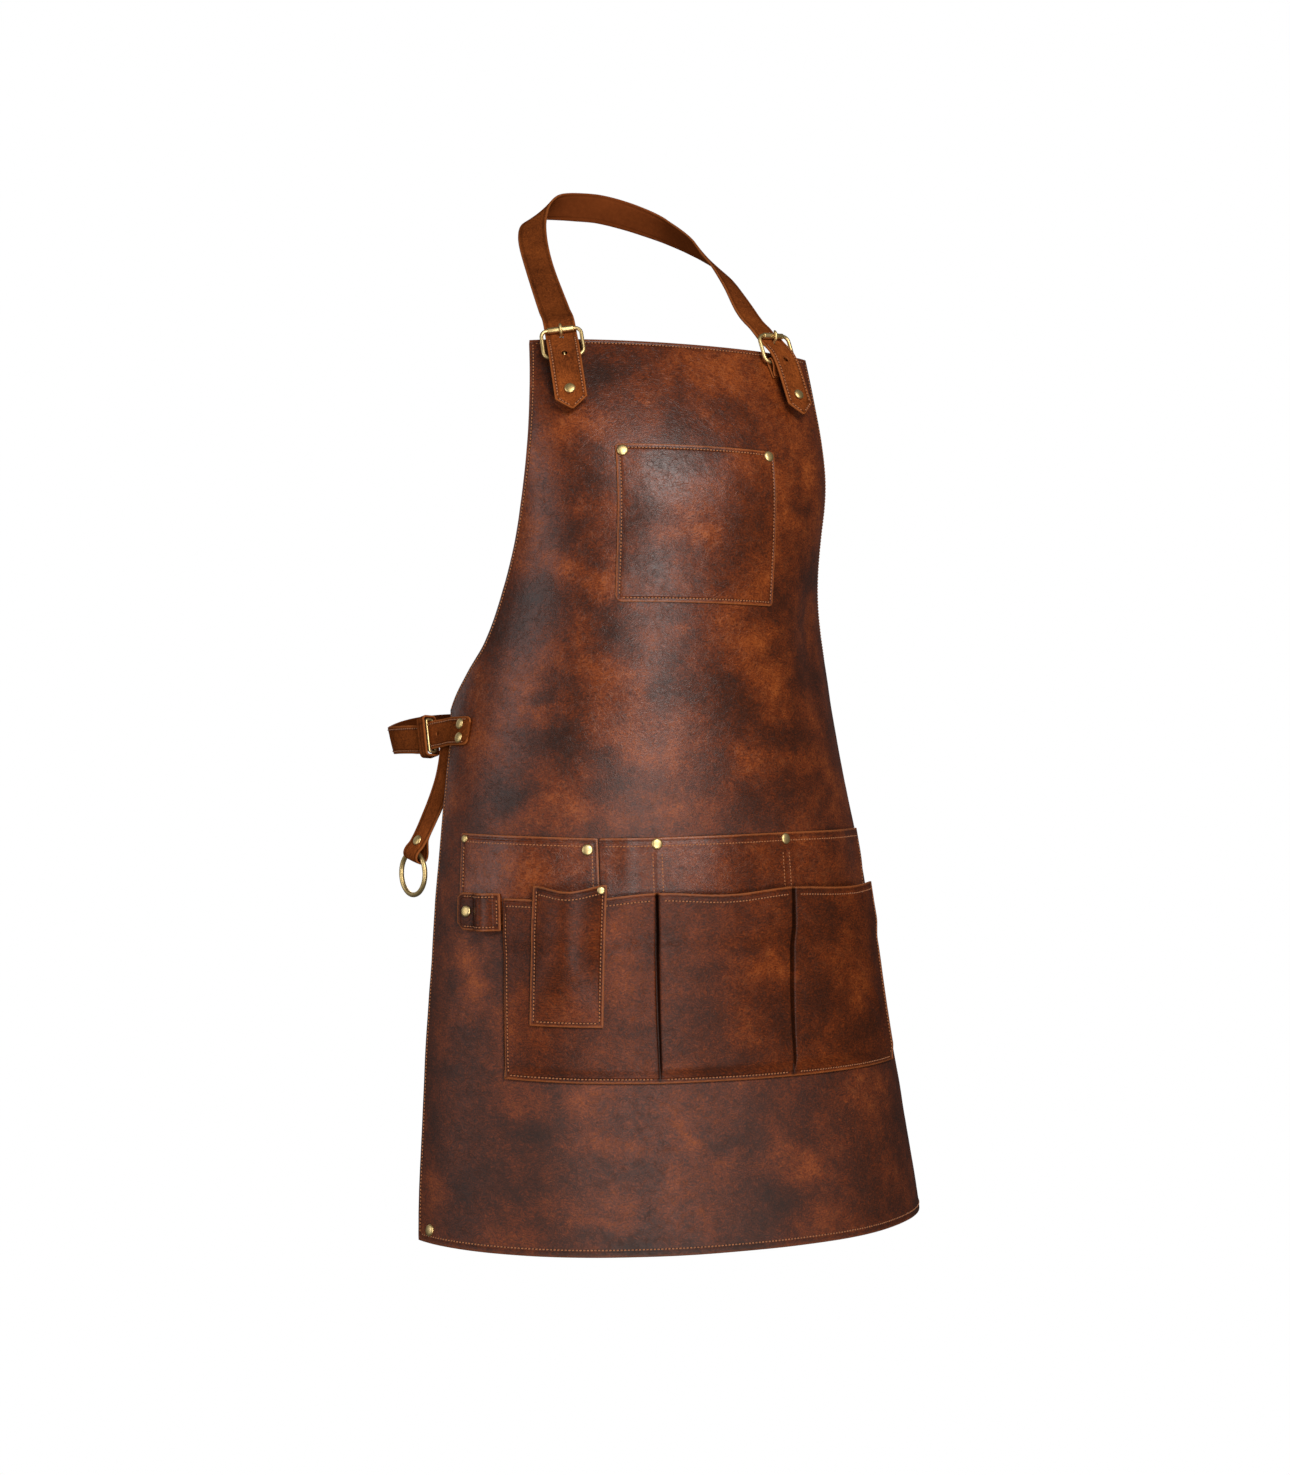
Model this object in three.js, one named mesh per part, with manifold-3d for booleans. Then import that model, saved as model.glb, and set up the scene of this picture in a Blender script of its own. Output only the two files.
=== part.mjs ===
// Leather tool apron, worn: one cut panel wrapped round the body, pockets laid on it,
// a buckled neck strap, a waist strap with its keeper, and a brass ring on a short hanger.
// Millimetres, +Z up, the wearer faces -Y.  The origin is the inner face of the neck
// strap at the nape.  Leather pieces are flat outlines in (u, z): u runs along the
// leather from centre front, z down from the bib's top edge, d is the stand-off outwards.
import * as THREE from 'three';
import { mergeVertices } from 'three/addons/utils/BufferGeometryUtils.js';
import Module from 'manifold-3d';

const wasm = await Module();
wasm.setup();

// ---------------------------------------------------------------- driving sizes (mm)
const PANEL_T = 2.2;            // apron leather
const POCKET_T = 1.8;           // pocket leather
const STRAP_T = 2.6;            // neck strap leather
const STRAP_W = 30;             // neck strap width
const WAIST_W = 28, WAIST_T = 2.4;
const HANG_W = 24, HANG_T = 2.0;
const GAP = 0.3;                // air kept between pieces
const LENGTH = 830;             // bib top to hem, measured plumb
const ORIGIN_Y = 300.8, ORIGIN_Z = 198.0;   // nape of the neck strap above/behind the bib top
const RIVET_R = 5.2, RIVET_SMALL_R = 3.6;
const RING_R = 20.7, RING_WIRE = 2.4;
const TAILS = {                 // buckles: side, place along the bib, turn (degrees), roller above the bib top
  left: { s: -1, u: 111.3, turn: 8.4, lift: 5.1 },
  right: { s: 1, u: 102.5, turn: 6.2, lift: 14.5 },
};

// body form the leather is wrapped on: half width a, half depth b, front line y
const FORM = [
  // drop,   a,     b,     front
  [0.00, 158.5, 57.4, 38.8],
  [0.20, 158.3, 102.3, -16.5],
  [0.40, 193.2, 163.2, -3.3],
  [0.62, 219.8, 142.6, -17.2],
  [1.00, 255.6, 174.9, -91.2],
];
// panel outline: half width along the leather at a drop below the bib top
const OUTLINE = [
  // drop,  half width
  [0.000, 147.3], [0.100, 160.9], [0.200, 182.1], [0.280, 201.5],
  [0.340, 221.9], [0.375, 249.3], [0.397, 267.0], [0.417, 281.0],
];
const SIDE = [[0.417, 281.0], [0.437, 270.0], [0.70, 279.3], [1.0, 306.2]];
// soft dents and swells of the worn leather
const DENTS = [
  // u,    z,   spread u, spread z, out
  [150, -292, 26, 52, -3.0],
  [160, -256, 40, 46, -6.0],
  [150, -130, 40, 52, 2.6],
  [-118, -335, 60, 34, -2.2],
  [40, -400, 80, 36, 1.8],
  [-150, -770, 42, 90, 2.4],
  [10, -790, 46, 80, -2.4],
  [150, -770, 44, 90, 2.2],
];

// ---------------------------------------------------------------- curves
function monotone(rows, col) {
  const x = rows.map(r => r[0]), y = rows.map(r => r[col]), n = x.length;
  const h = [], dl = [], m = new Array(n).fill(0);
  for (let i = 0; i < n - 1; i++) { h.push(x[i + 1] - x[i]); dl.push((y[i + 1] - y[i]) / h[i]); }
  for (let i = 1; i < n - 1; i++) {
    if (dl[i - 1] * dl[i] > 0) {
      const w1 = 2 * h[i] + h[i - 1], w2 = h[i] + 2 * h[i - 1];
      m[i] = (w1 + w2) / (w1 / dl[i - 1] + w2 / dl[i]);
    }
  }
  const end = (h0, h1, d0, d1) => {
    let v = ((2 * h0 + h1) * d0 - h0 * d1) / (h0 + h1);
    if (v * d0 <= 0) v = 0; else if (d0 * d1 < 0 && Math.abs(v) > 3 * Math.abs(d0)) v = 3 * d0;
    return v;
  };
  m[0] = end(h[0], h[1], dl[0], dl[1]);
  m[n - 1] = end(h[n - 2], h[n - 3], dl[n - 2], dl[n - 3]);
  return t => {
    const q = Math.min(Math.max(t, x[0]), x[n - 1]);
    let i = 0; while (i < n - 2 && q > x[i + 1]) i++;
    const s = (q - x[i]) / h[i], s2 = s * s, s3 = s2 * s;
    return (2 * s3 - 3 * s2 + 1) * y[i] + (s3 - 2 * s2 + s) * h[i] * m[i]
      + (-2 * s3 + 3 * s2) * y[i + 1] + (s3 - s2) * h[i] * m[i + 1];
  };
}
const linear = rows => t => {
  if (t <= rows[0][0]) return rows[0][1];
  for (let i = 0; i < rows.length - 1; i++) {
    if (t <= rows[i + 1][0]) {
      const s = (t - rows[i][0]) / (rows[i + 1][0] - rows[i][0]);
      return rows[i][1] + s * (rows[i + 1][1] - rows[i][1]);
    }
  }
  return rows[rows.length - 1][1];
};
const smooth = (a, b, x) => { const s = Math.min(Math.max((x - a) / (b - a), 0), 1); return s * s * (3 - 2 * s); };

const formA = monotone(FORM, 1), formB = monotone(FORM, 2), formY = monotone(FORM, 3);
const armhole = monotone(OUTLINE, 1), side = linear(SIDE);
const halfWidth = z => { const t = -z / LENGTH; return t <= 0.417 ? armhole(t) : side(t); };
const dent = (u, z) => DENTS.reduce((s, r) =>
  s + r[4] * Math.exp(-(((u - r[0]) / r[2]) ** 2) - (((z - r[1]) / r[3]) ** 2)), 0);

const sections = new Map();
function section(z) {
  const key = z.toFixed(4);
  if (!sections.has(key)) {
    const t = -z / LENGTH, a = formA(t), b = formB(t), y = formY(t), N = 360, s = [0], ph = [-Math.PI];
    for (let i = 1; i <= N; i++) {
      const p0 = -Math.PI + 2 * Math.PI * (i - 1) / N, p1 = p0 + 2 * Math.PI / N;
      const g = p => Math.hypot(a * Math.cos(p), b * Math.sin(p));
      s.push(s[i - 1] + (g(p0) + g(p1)) / 2 * (p1 - p0)); ph.push(p1);
    }
    const mid = s[N / 2];
    sections.set(key, { a, b, y, s: s.map(v => v - mid), ph });
  }
  return sections.get(key);
}
// point of the leather: along u, at height z below the bib top, d outside the panel's face
function onForm(u, z, d) {
  const c = section(z);
  let lo = 0, hi = c.s.length - 1;
  while (hi - lo > 1) { const k = (lo + hi) >> 1; if (c.s[k] <= u) lo = k; else hi = k; }
  const p = c.ph[lo] + (u - c.s[lo]) / (c.s[hi] - c.s[lo]) * (c.ph[hi] - c.ph[lo]);
  const nx = c.b * Math.sin(p), ny = -c.a * Math.cos(p), l = Math.hypot(nx, ny), o = d + dent(u, z);
  return new THREE.Vector3(c.a * Math.sin(p) + o * nx / l,
    c.y + c.b - c.b * Math.cos(p) + o * ny / l - ORIGIN_Y, z - ORIGIN_Z);
}
// frame on the leather: across (along u), up (along the leather), out
function frameAt(u, z, d) {
  const P = onForm(u, z, d), e = 0.5;
  const across = onForm(u + e, z, d).sub(onForm(u - e, z, d)).normalize();
  let up = onForm(u, Math.min(z + e, 0), d).sub(onForm(u, z - e, d)).normalize();
  const out = new THREE.Vector3().crossVectors(across, up).normalize();
  up = new THREE.Vector3().crossVectors(out, across).normalize();
  return { P, across, up, out };
}
const at = (F, p, q, h) => F.P.clone().addScaledVector(F.across, p).addScaledVector(F.up, q).addScaledVector(F.out, h);

// ---------------------------------------------------------------- solids
function solid(points, faces) {
  const g = new THREE.BufferGeometry();
  g.setAttribute('position', new THREE.Float32BufferAttribute(points.flatMap(p => [p.x, p.y, p.z]), 3));
  g.setIndex(faces.flat());
  return g;
}
// closed leather wall from an outer and an inner grid of the same shape
function wall(rows, cols, outer, inner) {
  const P = [], F = [], n = cols + 1, base = (rows + 1) * n;
  for (const f of [outer, inner]) for (let i = 0; i <= rows; i++) for (let j = 0; j <= cols; j++) P.push(f(i, j));
  const id = (k, i, j) => k * base + i * n + j;
  for (let i = 0; i < rows; i++) for (let j = 0; j < cols; j++) {
    const a = id(0, i, j), b = id(0, i, j + 1), c = id(0, i + 1, j), d = id(0, i + 1, j + 1);
    F.push([a, c, b], [b, c, d]);
    const e = id(1, i, j), f = id(1, i, j + 1), g = id(1, i + 1, j), h = id(1, i + 1, j + 1);
    F.push([e, f, g], [f, h, g]);
  }
  const edge = (o0, o1, i0, i1) => F.push([o0, o1, i0], [o1, i1, i0]);
  for (let j = 0; j < cols; j++) {
    edge(id(0, 0, j), id(0, 0, j + 1), id(1, 0, j), id(1, 0, j + 1));
    edge(id(0, rows, j + 1), id(0, rows, j), id(1, rows, j + 1), id(1, rows, j));
  }
  for (let i = 0; i < rows; i++) {
    edge(id(0, i + 1, 0), id(0, i, 0), id(1, i + 1, 0), id(1, i, 0));
    edge(id(0, i, cols), id(0, i + 1, cols), id(1, i, cols), id(1, i + 1, cols));
  }
  return solid(P, F);
}
// strap: rectangular section carried along stations { P, across, out, w, t }
function strap(stations) {
  const P = [], F = [], n = stations.length;
  for (const s of stations) for (const [a, b] of [[-1, 1], [1, 1], [1, -1], [-1, -1]])
    P.push(s.P.clone().addScaledVector(s.across, a * s.w / 2).addScaledVector(s.out, b * s.t / 2));
  for (let i = 0; i < n - 1; i++) for (let k = 0; k < 4; k++) {
    const a = 4 * i + k, b = 4 * i + (k + 1) % 4;
    F.push([a, a + 4, b], [b, a + 4, b + 4]);
  }
  const m = 4 * (n - 1);
  F.push([0, 1, 2], [0, 2, 3], [m, m + 2, m + 1], [m, m + 3, m + 2]);
  const g = solid(P, F);
  return volume(g) < 0 ? flip(g) : g;
}
// round bar along points; closed = ring
function bar(points, r, sides, closed) {
  const n = points.length, P = [], F = [];
  const T = points.map((p, i) => {
    const a = closed ? points[(i + n - 1) % n] : points[Math.max(i - 1, 0)];
    const b = closed ? points[(i + 1) % n] : points[Math.min(i + 1, n - 1)];
    return b.clone().sub(a).normalize();
  });
  const c = points.reduce((s, p) => s.add(p), new THREE.Vector3()).divideScalar(n);
  let ref = new THREE.Vector3();
  for (let i = 0; i < n; i++) ref.add(points[i].clone().sub(c).cross(points[(i + 1) % n].clone().sub(c)));
  ref.normalize();
  for (let i = 0; i < n; i++) {
    const v = ref.clone().addScaledVector(T[i], -ref.dot(T[i])).normalize(), w = T[i].clone().cross(v);
    const rr = typeof r === 'function' ? r(i / (n - 1)) : r;
    for (let k = 0; k < sides; k++) {
      const q = 2 * Math.PI * k / sides;
      P.push(points[i].clone().addScaledVector(v, rr * Math.cos(q)).addScaledVector(w, rr * Math.sin(q)));
    }
  }
  const last = closed ? n : n - 1;
  for (let i = 0; i < last; i++) for (let k = 0; k < sides; k++) {
    const i2 = (i + 1) % n, k2 = (k + 1) % sides;
    F.push([i * sides + k, i * sides + k2, i2 * sides + k], [i * sides + k2, i2 * sides + k2, i2 * sides + k]);
  }
  if (!closed) for (let k = 1; k < sides - 1; k++) {
    const m = (n - 1) * sides;
    F.push([0, k + 1, k], [m, m + k, m + k + 1]);
  }
  const g = solid(P, F);
  return volume(g) < 0 ? flip(g) : g;
}
function volume(g) {
  const p = g.attributes.position, ix = g.index.array; let v = 0;
  const a = new THREE.Vector3(), b = new THREE.Vector3(), c = new THREE.Vector3();
  for (let i = 0; i < ix.length; i += 3) {
    a.fromBufferAttribute(p, ix[i]); b.fromBufferAttribute(p, ix[i + 1]); c.fromBufferAttribute(p, ix[i + 2]);
    v += a.dot(b.clone().cross(c)) / 6;
  }
  return v;
}
function flip(g) {
  const ix = g.index.array;
  for (let i = 0; i < ix.length; i += 3) { const t = ix[i]; ix[i] = ix[i + 1]; ix[i + 1] = t; }
  return g;
}
// lathe of a profile [radius, height] starting and ending on the axis, set on a frame
function turned(F, profile, sides) {
  const P = [], Q = [];
  const rows = profile.slice(1, -1);
  P.push(at(F, 0, 0, profile[0][1]));
  for (const [r, h] of rows) for (let k = 0; k < sides; k++) {
    const q = 2 * Math.PI * k / sides; P.push(at(F, r * Math.cos(q), r * Math.sin(q), h));
  }
  P.push(at(F, 0, 0, profile[profile.length - 1][1]));
  const top = P.length - 1;
  for (let k = 0; k < sides; k++) {
    const k2 = (k + 1) % sides;
    Q.push([0, 1 + k2, 1 + k]);
    for (let i = 0; i < rows.length - 1; i++) {
      const a = 1 + i * sides + k, b = 1 + i * sides + k2;
      Q.push([a, b, a + sides], [b, b + sides, a + sides]);
    }
    const m = 1 + (rows.length - 1) * sides;
    Q.push([m + k, m + k2, top]);
  }
  const g = solid(P, Q);
  return volume(g) < 0 ? flip(g) : g;
}
// rounded rectangle loop in a frame's (across, up) plane
function roundedLoop(hp, hq, r, steps, place) {
  const out = [];
  for (const [sx, sy, a0] of [[1, 1, 0], [-1, 1, 90], [-1, -1, 180], [1, -1, 270]])
    for (let i = 0; i <= steps; i++) {
      const a = (a0 + 90 * i / steps) * Math.PI / 180;
      out.push(place(sx * (hp - r) + r * Math.cos(a), sy * (hq - r) + r * Math.sin(a)));
    }
  return out;
}
const toManifold = g => {
  const h = g.clone(); h.deleteAttribute('normal'); h.deleteAttribute('uv');
  const m = mergeVertices(h, 1e-4);
  return new wasm.Manifold(new wasm.Mesh({ numProp: 3,
    vertProperties: new Float32Array(m.attributes.position.array), triVerts: new Uint32Array(m.index.array) }));
};
const fromManifold = m => {
  const q = m.getMesh(), g = new THREE.BufferGeometry();
  g.setAttribute('position', new THREE.Float32BufferAttribute(new Float32Array(q.vertProperties), 3));
  g.setIndex([...q.triVerts]);
  return g;
};
const cut = (g, tools) => fromManifold(tools.reduce((m, t) => m.subtract(toManifold(t)), toManifold(g)));
// block in a frame, from (p0,q0,h0) to (p1,q1,h1)
function block(F, p0, p1, q0, q1, h0, h1) {
  const P = [];
  for (const h of [h0, h1]) for (const q of [q0, q1]) for (const p of [p0, p1]) P.push(at(F, p, q, h));
  const g = solid(P, [[0, 2, 1], [1, 2, 3], [4, 5, 6], [5, 7, 6], [0, 1, 4], [1, 5, 4], [2, 6, 3], [3, 6, 7], [0, 4, 2], [2, 4, 6], [1, 3, 5], [3, 7, 5]]);
  return volume(g) < 0 ? flip(g) : g;
}

// ---------------------------------------------------------------- materials and group
const group = new THREE.Group();
const M = {
  panel: [0x4a2414, 0.55, 0], pocket: [0x5a2c17, 0.52, 0], strap: [0x7a3b1c, 0.5, 0],
  brass: [0xa8823f, 0.35, 1],
};
const add = (name, geometry, kind) => {
  const [color, roughness, metalness] = M[kind];
  const g = geometry.clone(); g.computeVertexNormals();
  const mesh = new THREE.Mesh(g, new THREE.MeshStandardMaterial({ color, roughness, metalness }));
  mesh.name = name; group.add(mesh);
};

// ---------------------------------------------------------------- apron panel
const PANEL_ROWS = [0, 30, 62, 96, 132, 168, 204, 236, 262, 284, 302, 318, 332, 346.1, 354.4, 362.7, 384, 420, 460,
  500, 545, 590, 635, 680, 725, 768, 804, 830].map(v => -v);
const PANEL_COLS = 24;
const panelU = (i, j) => halfWidth(PANEL_ROWS[i]) * (2 * j / PANEL_COLS - 1);
add('apron_panel', wall(PANEL_ROWS.length - 1, PANEL_COLS,
  (i, j) => onForm(panelU(i, j), PANEL_ROWS[i], 0),
  (i, j) => onForm(panelU(i, j), PANEL_ROWS[i], -PANEL_T)), 'panel');

// ---------------------------------------------------------------- flat pockets
// rows and columns of a pocket laid on the panel; lift(u, z) is the stand-off of its inner face
function pocket(cols, rows, u0, u1, zTop, zBottom, lift) {
  const uz = (i, j) => {
    const u = u0 + (u1 - u0) * j / cols, a = zTop(u), b = zBottom(u);
    return [u, a + (b - a) * i / rows];
  };
  return wall(rows, cols,
    (i, j) => { const [u, z] = uz(i, j); return onForm(u, z, lift(u, z) + POCKET_T); },
    (i, j) => { const [u, z] = uz(i, j); return onForm(u, z, lift(u, z)); });
}
const hump = (x, a, b) => { const s = (x - a) / (b - a); return s <= 0 || s >= 1 ? 0 : Math.sin(Math.PI * s) ** 2; };

// breast pocket
const BIB = { u: 79.5, top: -105, bottom: -250.5, swell: 3.2 };
const bibLift = (u, z) => GAP + BIB.swell * (1 - Math.abs(u / BIB.u) ** 2.6) * smooth(BIB.bottom + 4, BIB.bottom + 90, z);
add('bib_pocket', pocket(10, 9, -BIB.u, BIB.u, () => BIB.top, () => BIB.bottom, bibLift), 'pocket');

// upper tool strip: left section and the long right section with its two seams
const UP = { left: -233, split: -96, right: 214, top: -463.5, bottom: -546 };
const upTop = linear([[-233, -463.3], [-96, -467.2], [-42, -466.6], [90, -462.7], [214, -460.5]]);
const upLiftL = (u, z) => GAP + 0.7 + 3.0 * hump(u, UP.left + 8, UP.split - 12) * smooth(UP.bottom + 10, UP.top - 20, z);
const upLiftR = (u, z) => GAP + (2.6 * hump(u, -88, -45) + 4.0 * hump(u, -40, 88) + 4.6 * hump(u, 92, 212)
  + 2.2 * smooth(188, 214, u)) * smooth(UP.bottom + 10, UP.top - 20, z);
add('upper_pocket_left', pocket(9, 4, UP.left, UP.split - 0.4, upTop, () => UP.bottom, upLiftL), 'pocket');
add('upper_pocket_right', pocket(20, 4, UP.split + 0.4, UP.right, upTop, () => UP.bottom, upLiftR), 'pocket');

// lower pocket row: one strip pleated into three compartments
const ROW = { left: -185, right: 206, flareLeft: 6.5, flareRight: 24, top: -517, bottom: -684.5, depth: 11.5 };
const PLEATS = [
  // u at top, u at foot
  [-46.5, -52.0],
  [85.5, 79.0],
];
const rowTop = linear([[-185, -522], [-49, -516.5], [82, -513], [214, -512]]);
const rowFoot = linear([[-192, -681.6], [-120, -684.3], [-52, -685.4], [79, -685.0], [230, -684.3]]);
const rowSag = u => 3.6 * (hump(u, -185, -49) + hump(u, -47, 83) + 0.6 * hump(u, 83, 214));
const rowZTop = u => rowTop(u) - rowSag(u);
const rowSeat = z => GAP + 0.75 + 2.7 * smooth(-572, -550, z);        // lies over the upper strip's foot
const rowDrop = z => Math.min(Math.max((ROW.top - z) / (ROW.top - ROW.bottom), 0), 1);
const rowLeft = z => ROW.left - ROW.flareLeft * rowDrop(z), rowRight = z => ROW.right + ROW.flareRight * rowDrop(z);
const rowDepth = z => ROW.depth * (1 - 0.55 * smooth(0.1, 0.9, rowDrop(z)) - 0.45 * smooth(0.9, 0.99, rowDrop(z)));
const pleatU = (k, z) => PLEATS[k][0] + (PLEATS[k][1] - PLEATS[k][0]) * rowDrop(z);
const pleatGap = z => 1.3 + 0.8 * Math.sin(Math.PI * rowDrop(z));
// stand-off of a compartment's outer face at fraction f across it
const face = (k, f, z) => {
  const s = [0.82, 1.0, 1.12][k];
  const ends = [[0.0, 0.80], [0.80, 0.80], [0.80, 0.55]][k];
  const edge = ends[0] + (ends[1] - ends[0]) * f;
  return rowSeat(z) + POCKET_T + rowDepth(z) * s * (edge + (1 - edge) * Math.sin(Math.PI * Math.min(Math.max(f, 0), 1)) ** 0.8);
};
const compartment = (k, z) => {
  const g = pleatGap(z);
  const a = k === 0 ? rowLeft(z) : pleatU(k - 1, z) + g, b = k === 2 ? rowRight(z) : pleatU(k, z) - g;
  return [a, b];
};
// outer outline of the row's cross-section at a height: list of [u, d]
function rowSection(z) {
  const out = [], seat = rowSeat(z) + POCKET_T;
  for (let k = 0; k < 3; k++) {
    const [a, b] = compartment(k, z);
    const steps = k === 0 ? [0.0, 0.05, 0.16, 0.34, 0.55, 0.76, 0.93, 1] : [0, 0.07, 0.24, 0.5, 0.76, 0.93, 1];
    for (const f of steps) out.push([a + (b - a) * f, face(k, f, z)]);
    if (k < 2) {
      const c = pleatU(k, z), g = pleatGap(z) * 0.45;
      out.push([c - g, seat], [c + g, seat]);
    }
  }
  return out;
}
// inner outline: the same line moved inwards by the leather's thickness, square to it
function inset(line, t) {
  return line.map((p, i) => {
    const a = line[Math.max(i - 1, 0)], b = line[Math.min(i + 1, line.length - 1)];
    const n0 = i > 0 ? norm2(a, p) : norm2(p, b), n1 = i < line.length - 1 ? norm2(p, b) : n0;
    let nx = n0[0] + n1[0], ny = n0[1] + n1[1]; const l = Math.hypot(nx, ny); nx /= l; ny /= l;
    const m = Math.min(t / Math.max(nx * n0[0] + ny * n0[1], 0.55), 1.6 * t);
    return [p[0] - nx * m, Math.max(p[1] - ny * m, 0)];
  });
}
const norm2 = (p, q) => { const dx = q[0] - p[0], dy = q[1] - p[1], l = Math.hypot(dx, dy) || 1; return [-dy / l, dx / l]; };
const ROW_STEPS = [0, 0.05, 0.13, 0.24, 0.37, 0.51, 0.65, 0.79, 0.89, 0.93, 0.965, 1];
function rowPoint(i, j, isInner) {
  const f = ROW_STEPS[i];
  const z0 = ROW.top + (ROW.bottom - ROW.top) * f;
  const line = rowSection(z0), seat = rowSeat(z0);
  const p = isInner ? inset(line, POCKET_T)[j] : line[j];
  const u = p[0], d = isInner ? Math.max(p[1], seat) : p[1];
  const zt = rowZTop(line[j][0]);
  return onForm(u, zt + (rowFoot(line[j][0]) - zt) * f, d);
}
const ROW_COLS = rowSection(ROW.top).length - 1;
add('lower_pocket_row', wall(ROW_STEPS.length - 1, ROW_COLS,
  (i, j) => rowPoint(i, j, false), (i, j) => rowPoint(i, j, true)), 'pocket');
// height of the row's left face, for what is stitched on it
const rowFace = (u, z) => {
  const [a, b] = compartment(0, z), f = (u - a) / (b - a);
  return face(0, f, z);
};

// narrow pocket on the row's left compartment
const SLIM = { top: -509.7, bottom: -634, swell: 12 };
const slimLeft = z => -153.5 + 10 * (z - SLIM.top) / 120, slimRight = z => -90 + 9 * (z - SLIM.top) / 120;
const slimTop = f => SLIM.top + 1.2 * f - 5 * Math.sin(Math.PI * f) ** 2;
const slimUZ = (f, g) => {
  const z = slimTop(f) + (SLIM.bottom - 1.5 * f - slimTop(f)) * g;
  return [slimLeft(z) + (slimRight(z) - slimLeft(z)) * f, z];
};
const slimLift = (u, z, f) => Math.max(rowFace(u, Math.min(z, -520)), 0) + 1.2
  + SLIM.swell * Math.sin(Math.PI * Math.min(Math.max((f - 0.05) / 0.9, 0), 1)) ** 1.1 * smooth(SLIM.bottom + 6, SLIM.bottom + 70, z);
const SLIM_COLS = [0, 0.10, 0.22, 0.36, 0.5, 0.64, 0.78, 0.90, 1], SLIM_ROWS = [0, 0.12, 0.3, 0.5, 0.7, 0.85, 0.94, 1];
const slimPoint = (f, g, t) => { const [u, z] = slimUZ(f, g); return onForm(u, z, slimLift(u, z, f) + t); };
add('slim_pocket', wall(SLIM_ROWS.length - 1, SLIM_COLS.length - 1,
  (i, j) => slimPoint(SLIM_COLS[j], SLIM_ROWS[i], POCKET_T),
  (i, j) => slimPoint(SLIM_COLS[j], SLIM_ROWS[i], 0)), 'pocket');

// pen loop: short band over the strip's left end, standing out in a round channel
const PEN = { left: -233, right: -187.5, top: -517.5, bottom: -551.5, mid: -204, half: 8.5, rise: 9.5 };
const penCols = [-233, -226, -218, -212.6, -209.5, -204, -198.5, -195.4, -192.5, -187.5];
const penLift = u => {
  const s = (u - PEN.mid) / PEN.half;
  return 3.9 + PEN.rise * (Math.abs(s) >= 1.15 ? 0 : Math.cos(Math.PI / 2 * s / 1.15) ** 0.9);
};
const penTop = u => PEN.top - 4 * smooth(-226, -233, u), penBottom = u => PEN.bottom + 6 * smooth(-226, -233, u);
const penPoint = (i, j, t) => {
  const u = penCols[j], z = penTop(u) + (penBottom(u) - penTop(u)) * i / 3;
  return onForm(u, z, penLift(u) + t);
};
add('pen_loop', wall(3, penCols.length - 1, (i, j) => penPoint(i, j, POCKET_T), (i, j) => penPoint(i, j, 0)), 'pocket');

// ---------------------------------------------------------------- rivets
const cap = r => [[0, 0], [r, 0], [r, 0.22 * r], [0.62 * r, 0.42 * r], [0, 0.5 * r]];
const rivet = (name, F, r = RIVET_R) => add(name, turned(F, cap(r), 12), 'brass');
const seatOn = (u, z, d) => frameAt(u, z, d + GAP);
rivet('rivet_bib_left', seatOn(-73, -111.5, bibLift(-73, -111.5) + POCKET_T + 0.3));
rivet('rivet_bib_right', seatOn(71.5, -110, bibLift(71.5, -110) + POCKET_T + 0.3));
rivet('rivet_strip_end', seatOn(-227.6, -468.5, upLiftL(-227, -468) + POCKET_T + 0.2), RIVET_SMALL_R);
rivet('rivet_strip_split', seatOn(-106, -477.6, upLiftL(-106, -477) + POCKET_T + 0.3));
rivet('rivet_strip_middle', seatOn(-42.8, -472.3, upLiftR(-42.8, -472) + POCKET_T + 0.4));
rivet('rivet_strip_right', seatOn(89, -468.9, upLiftR(89, -469) + POCKET_T + 0.4));
{
  const [u, z] = slimUZ(0.92, 0.035);
  rivet('rivet_slim_pocket', seatOn(u, z, slimLift(u, z, 0.92) + POCKET_T + 1.8), RIVET_SMALL_R);
}
rivet('rivet_pen_loop', seatOn(-222, -534.5, 3.9 + POCKET_T + 0.5));
rivet('rivet_hem_left', seatOn(-285, -818.5, 0.1));

// ---------------------------------------------------------------- neck strap and buckles
const NECK = { x: 113.6, y: 48.7, back: 253.3, rise: 198.4, px: 3.449, py: 2.872, lift: 1.07, pinch: -0.315 };
// the loop from one buckle (th = 0) over the shoulder to the nape (th = 90 degrees)
function neckPoint(th, s) {
  const f = Math.sin(th) ** (2 / NECK.py);
  return new THREE.Vector3(s * NECK.x * Math.max(Math.cos(th), 0) ** (2 / NECK.px) * (1 + NECK.pinch * f * (1 - f)),
    NECK.y + NECK.back * f - ORIGIN_Y, NECK.rise * f ** NECK.lift - ORIGIN_Z);
}
// which way the strap's outer face looks along the half loop
const NECK_FACE = [
  // part of half loop, x (outwards), y, z
  [0.00, 0.00, -0.62, 0.78],
  [0.30, 0.08, -0.55, 0.83],
  [0.62, 0.40, -0.20, 0.88],
  [0.80, 0.58, 0.28, 0.76],
  [0.91, 0.36, 0.74, 0.52],
  [1.00, 0.00, 0.95, 0.30],
];
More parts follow.
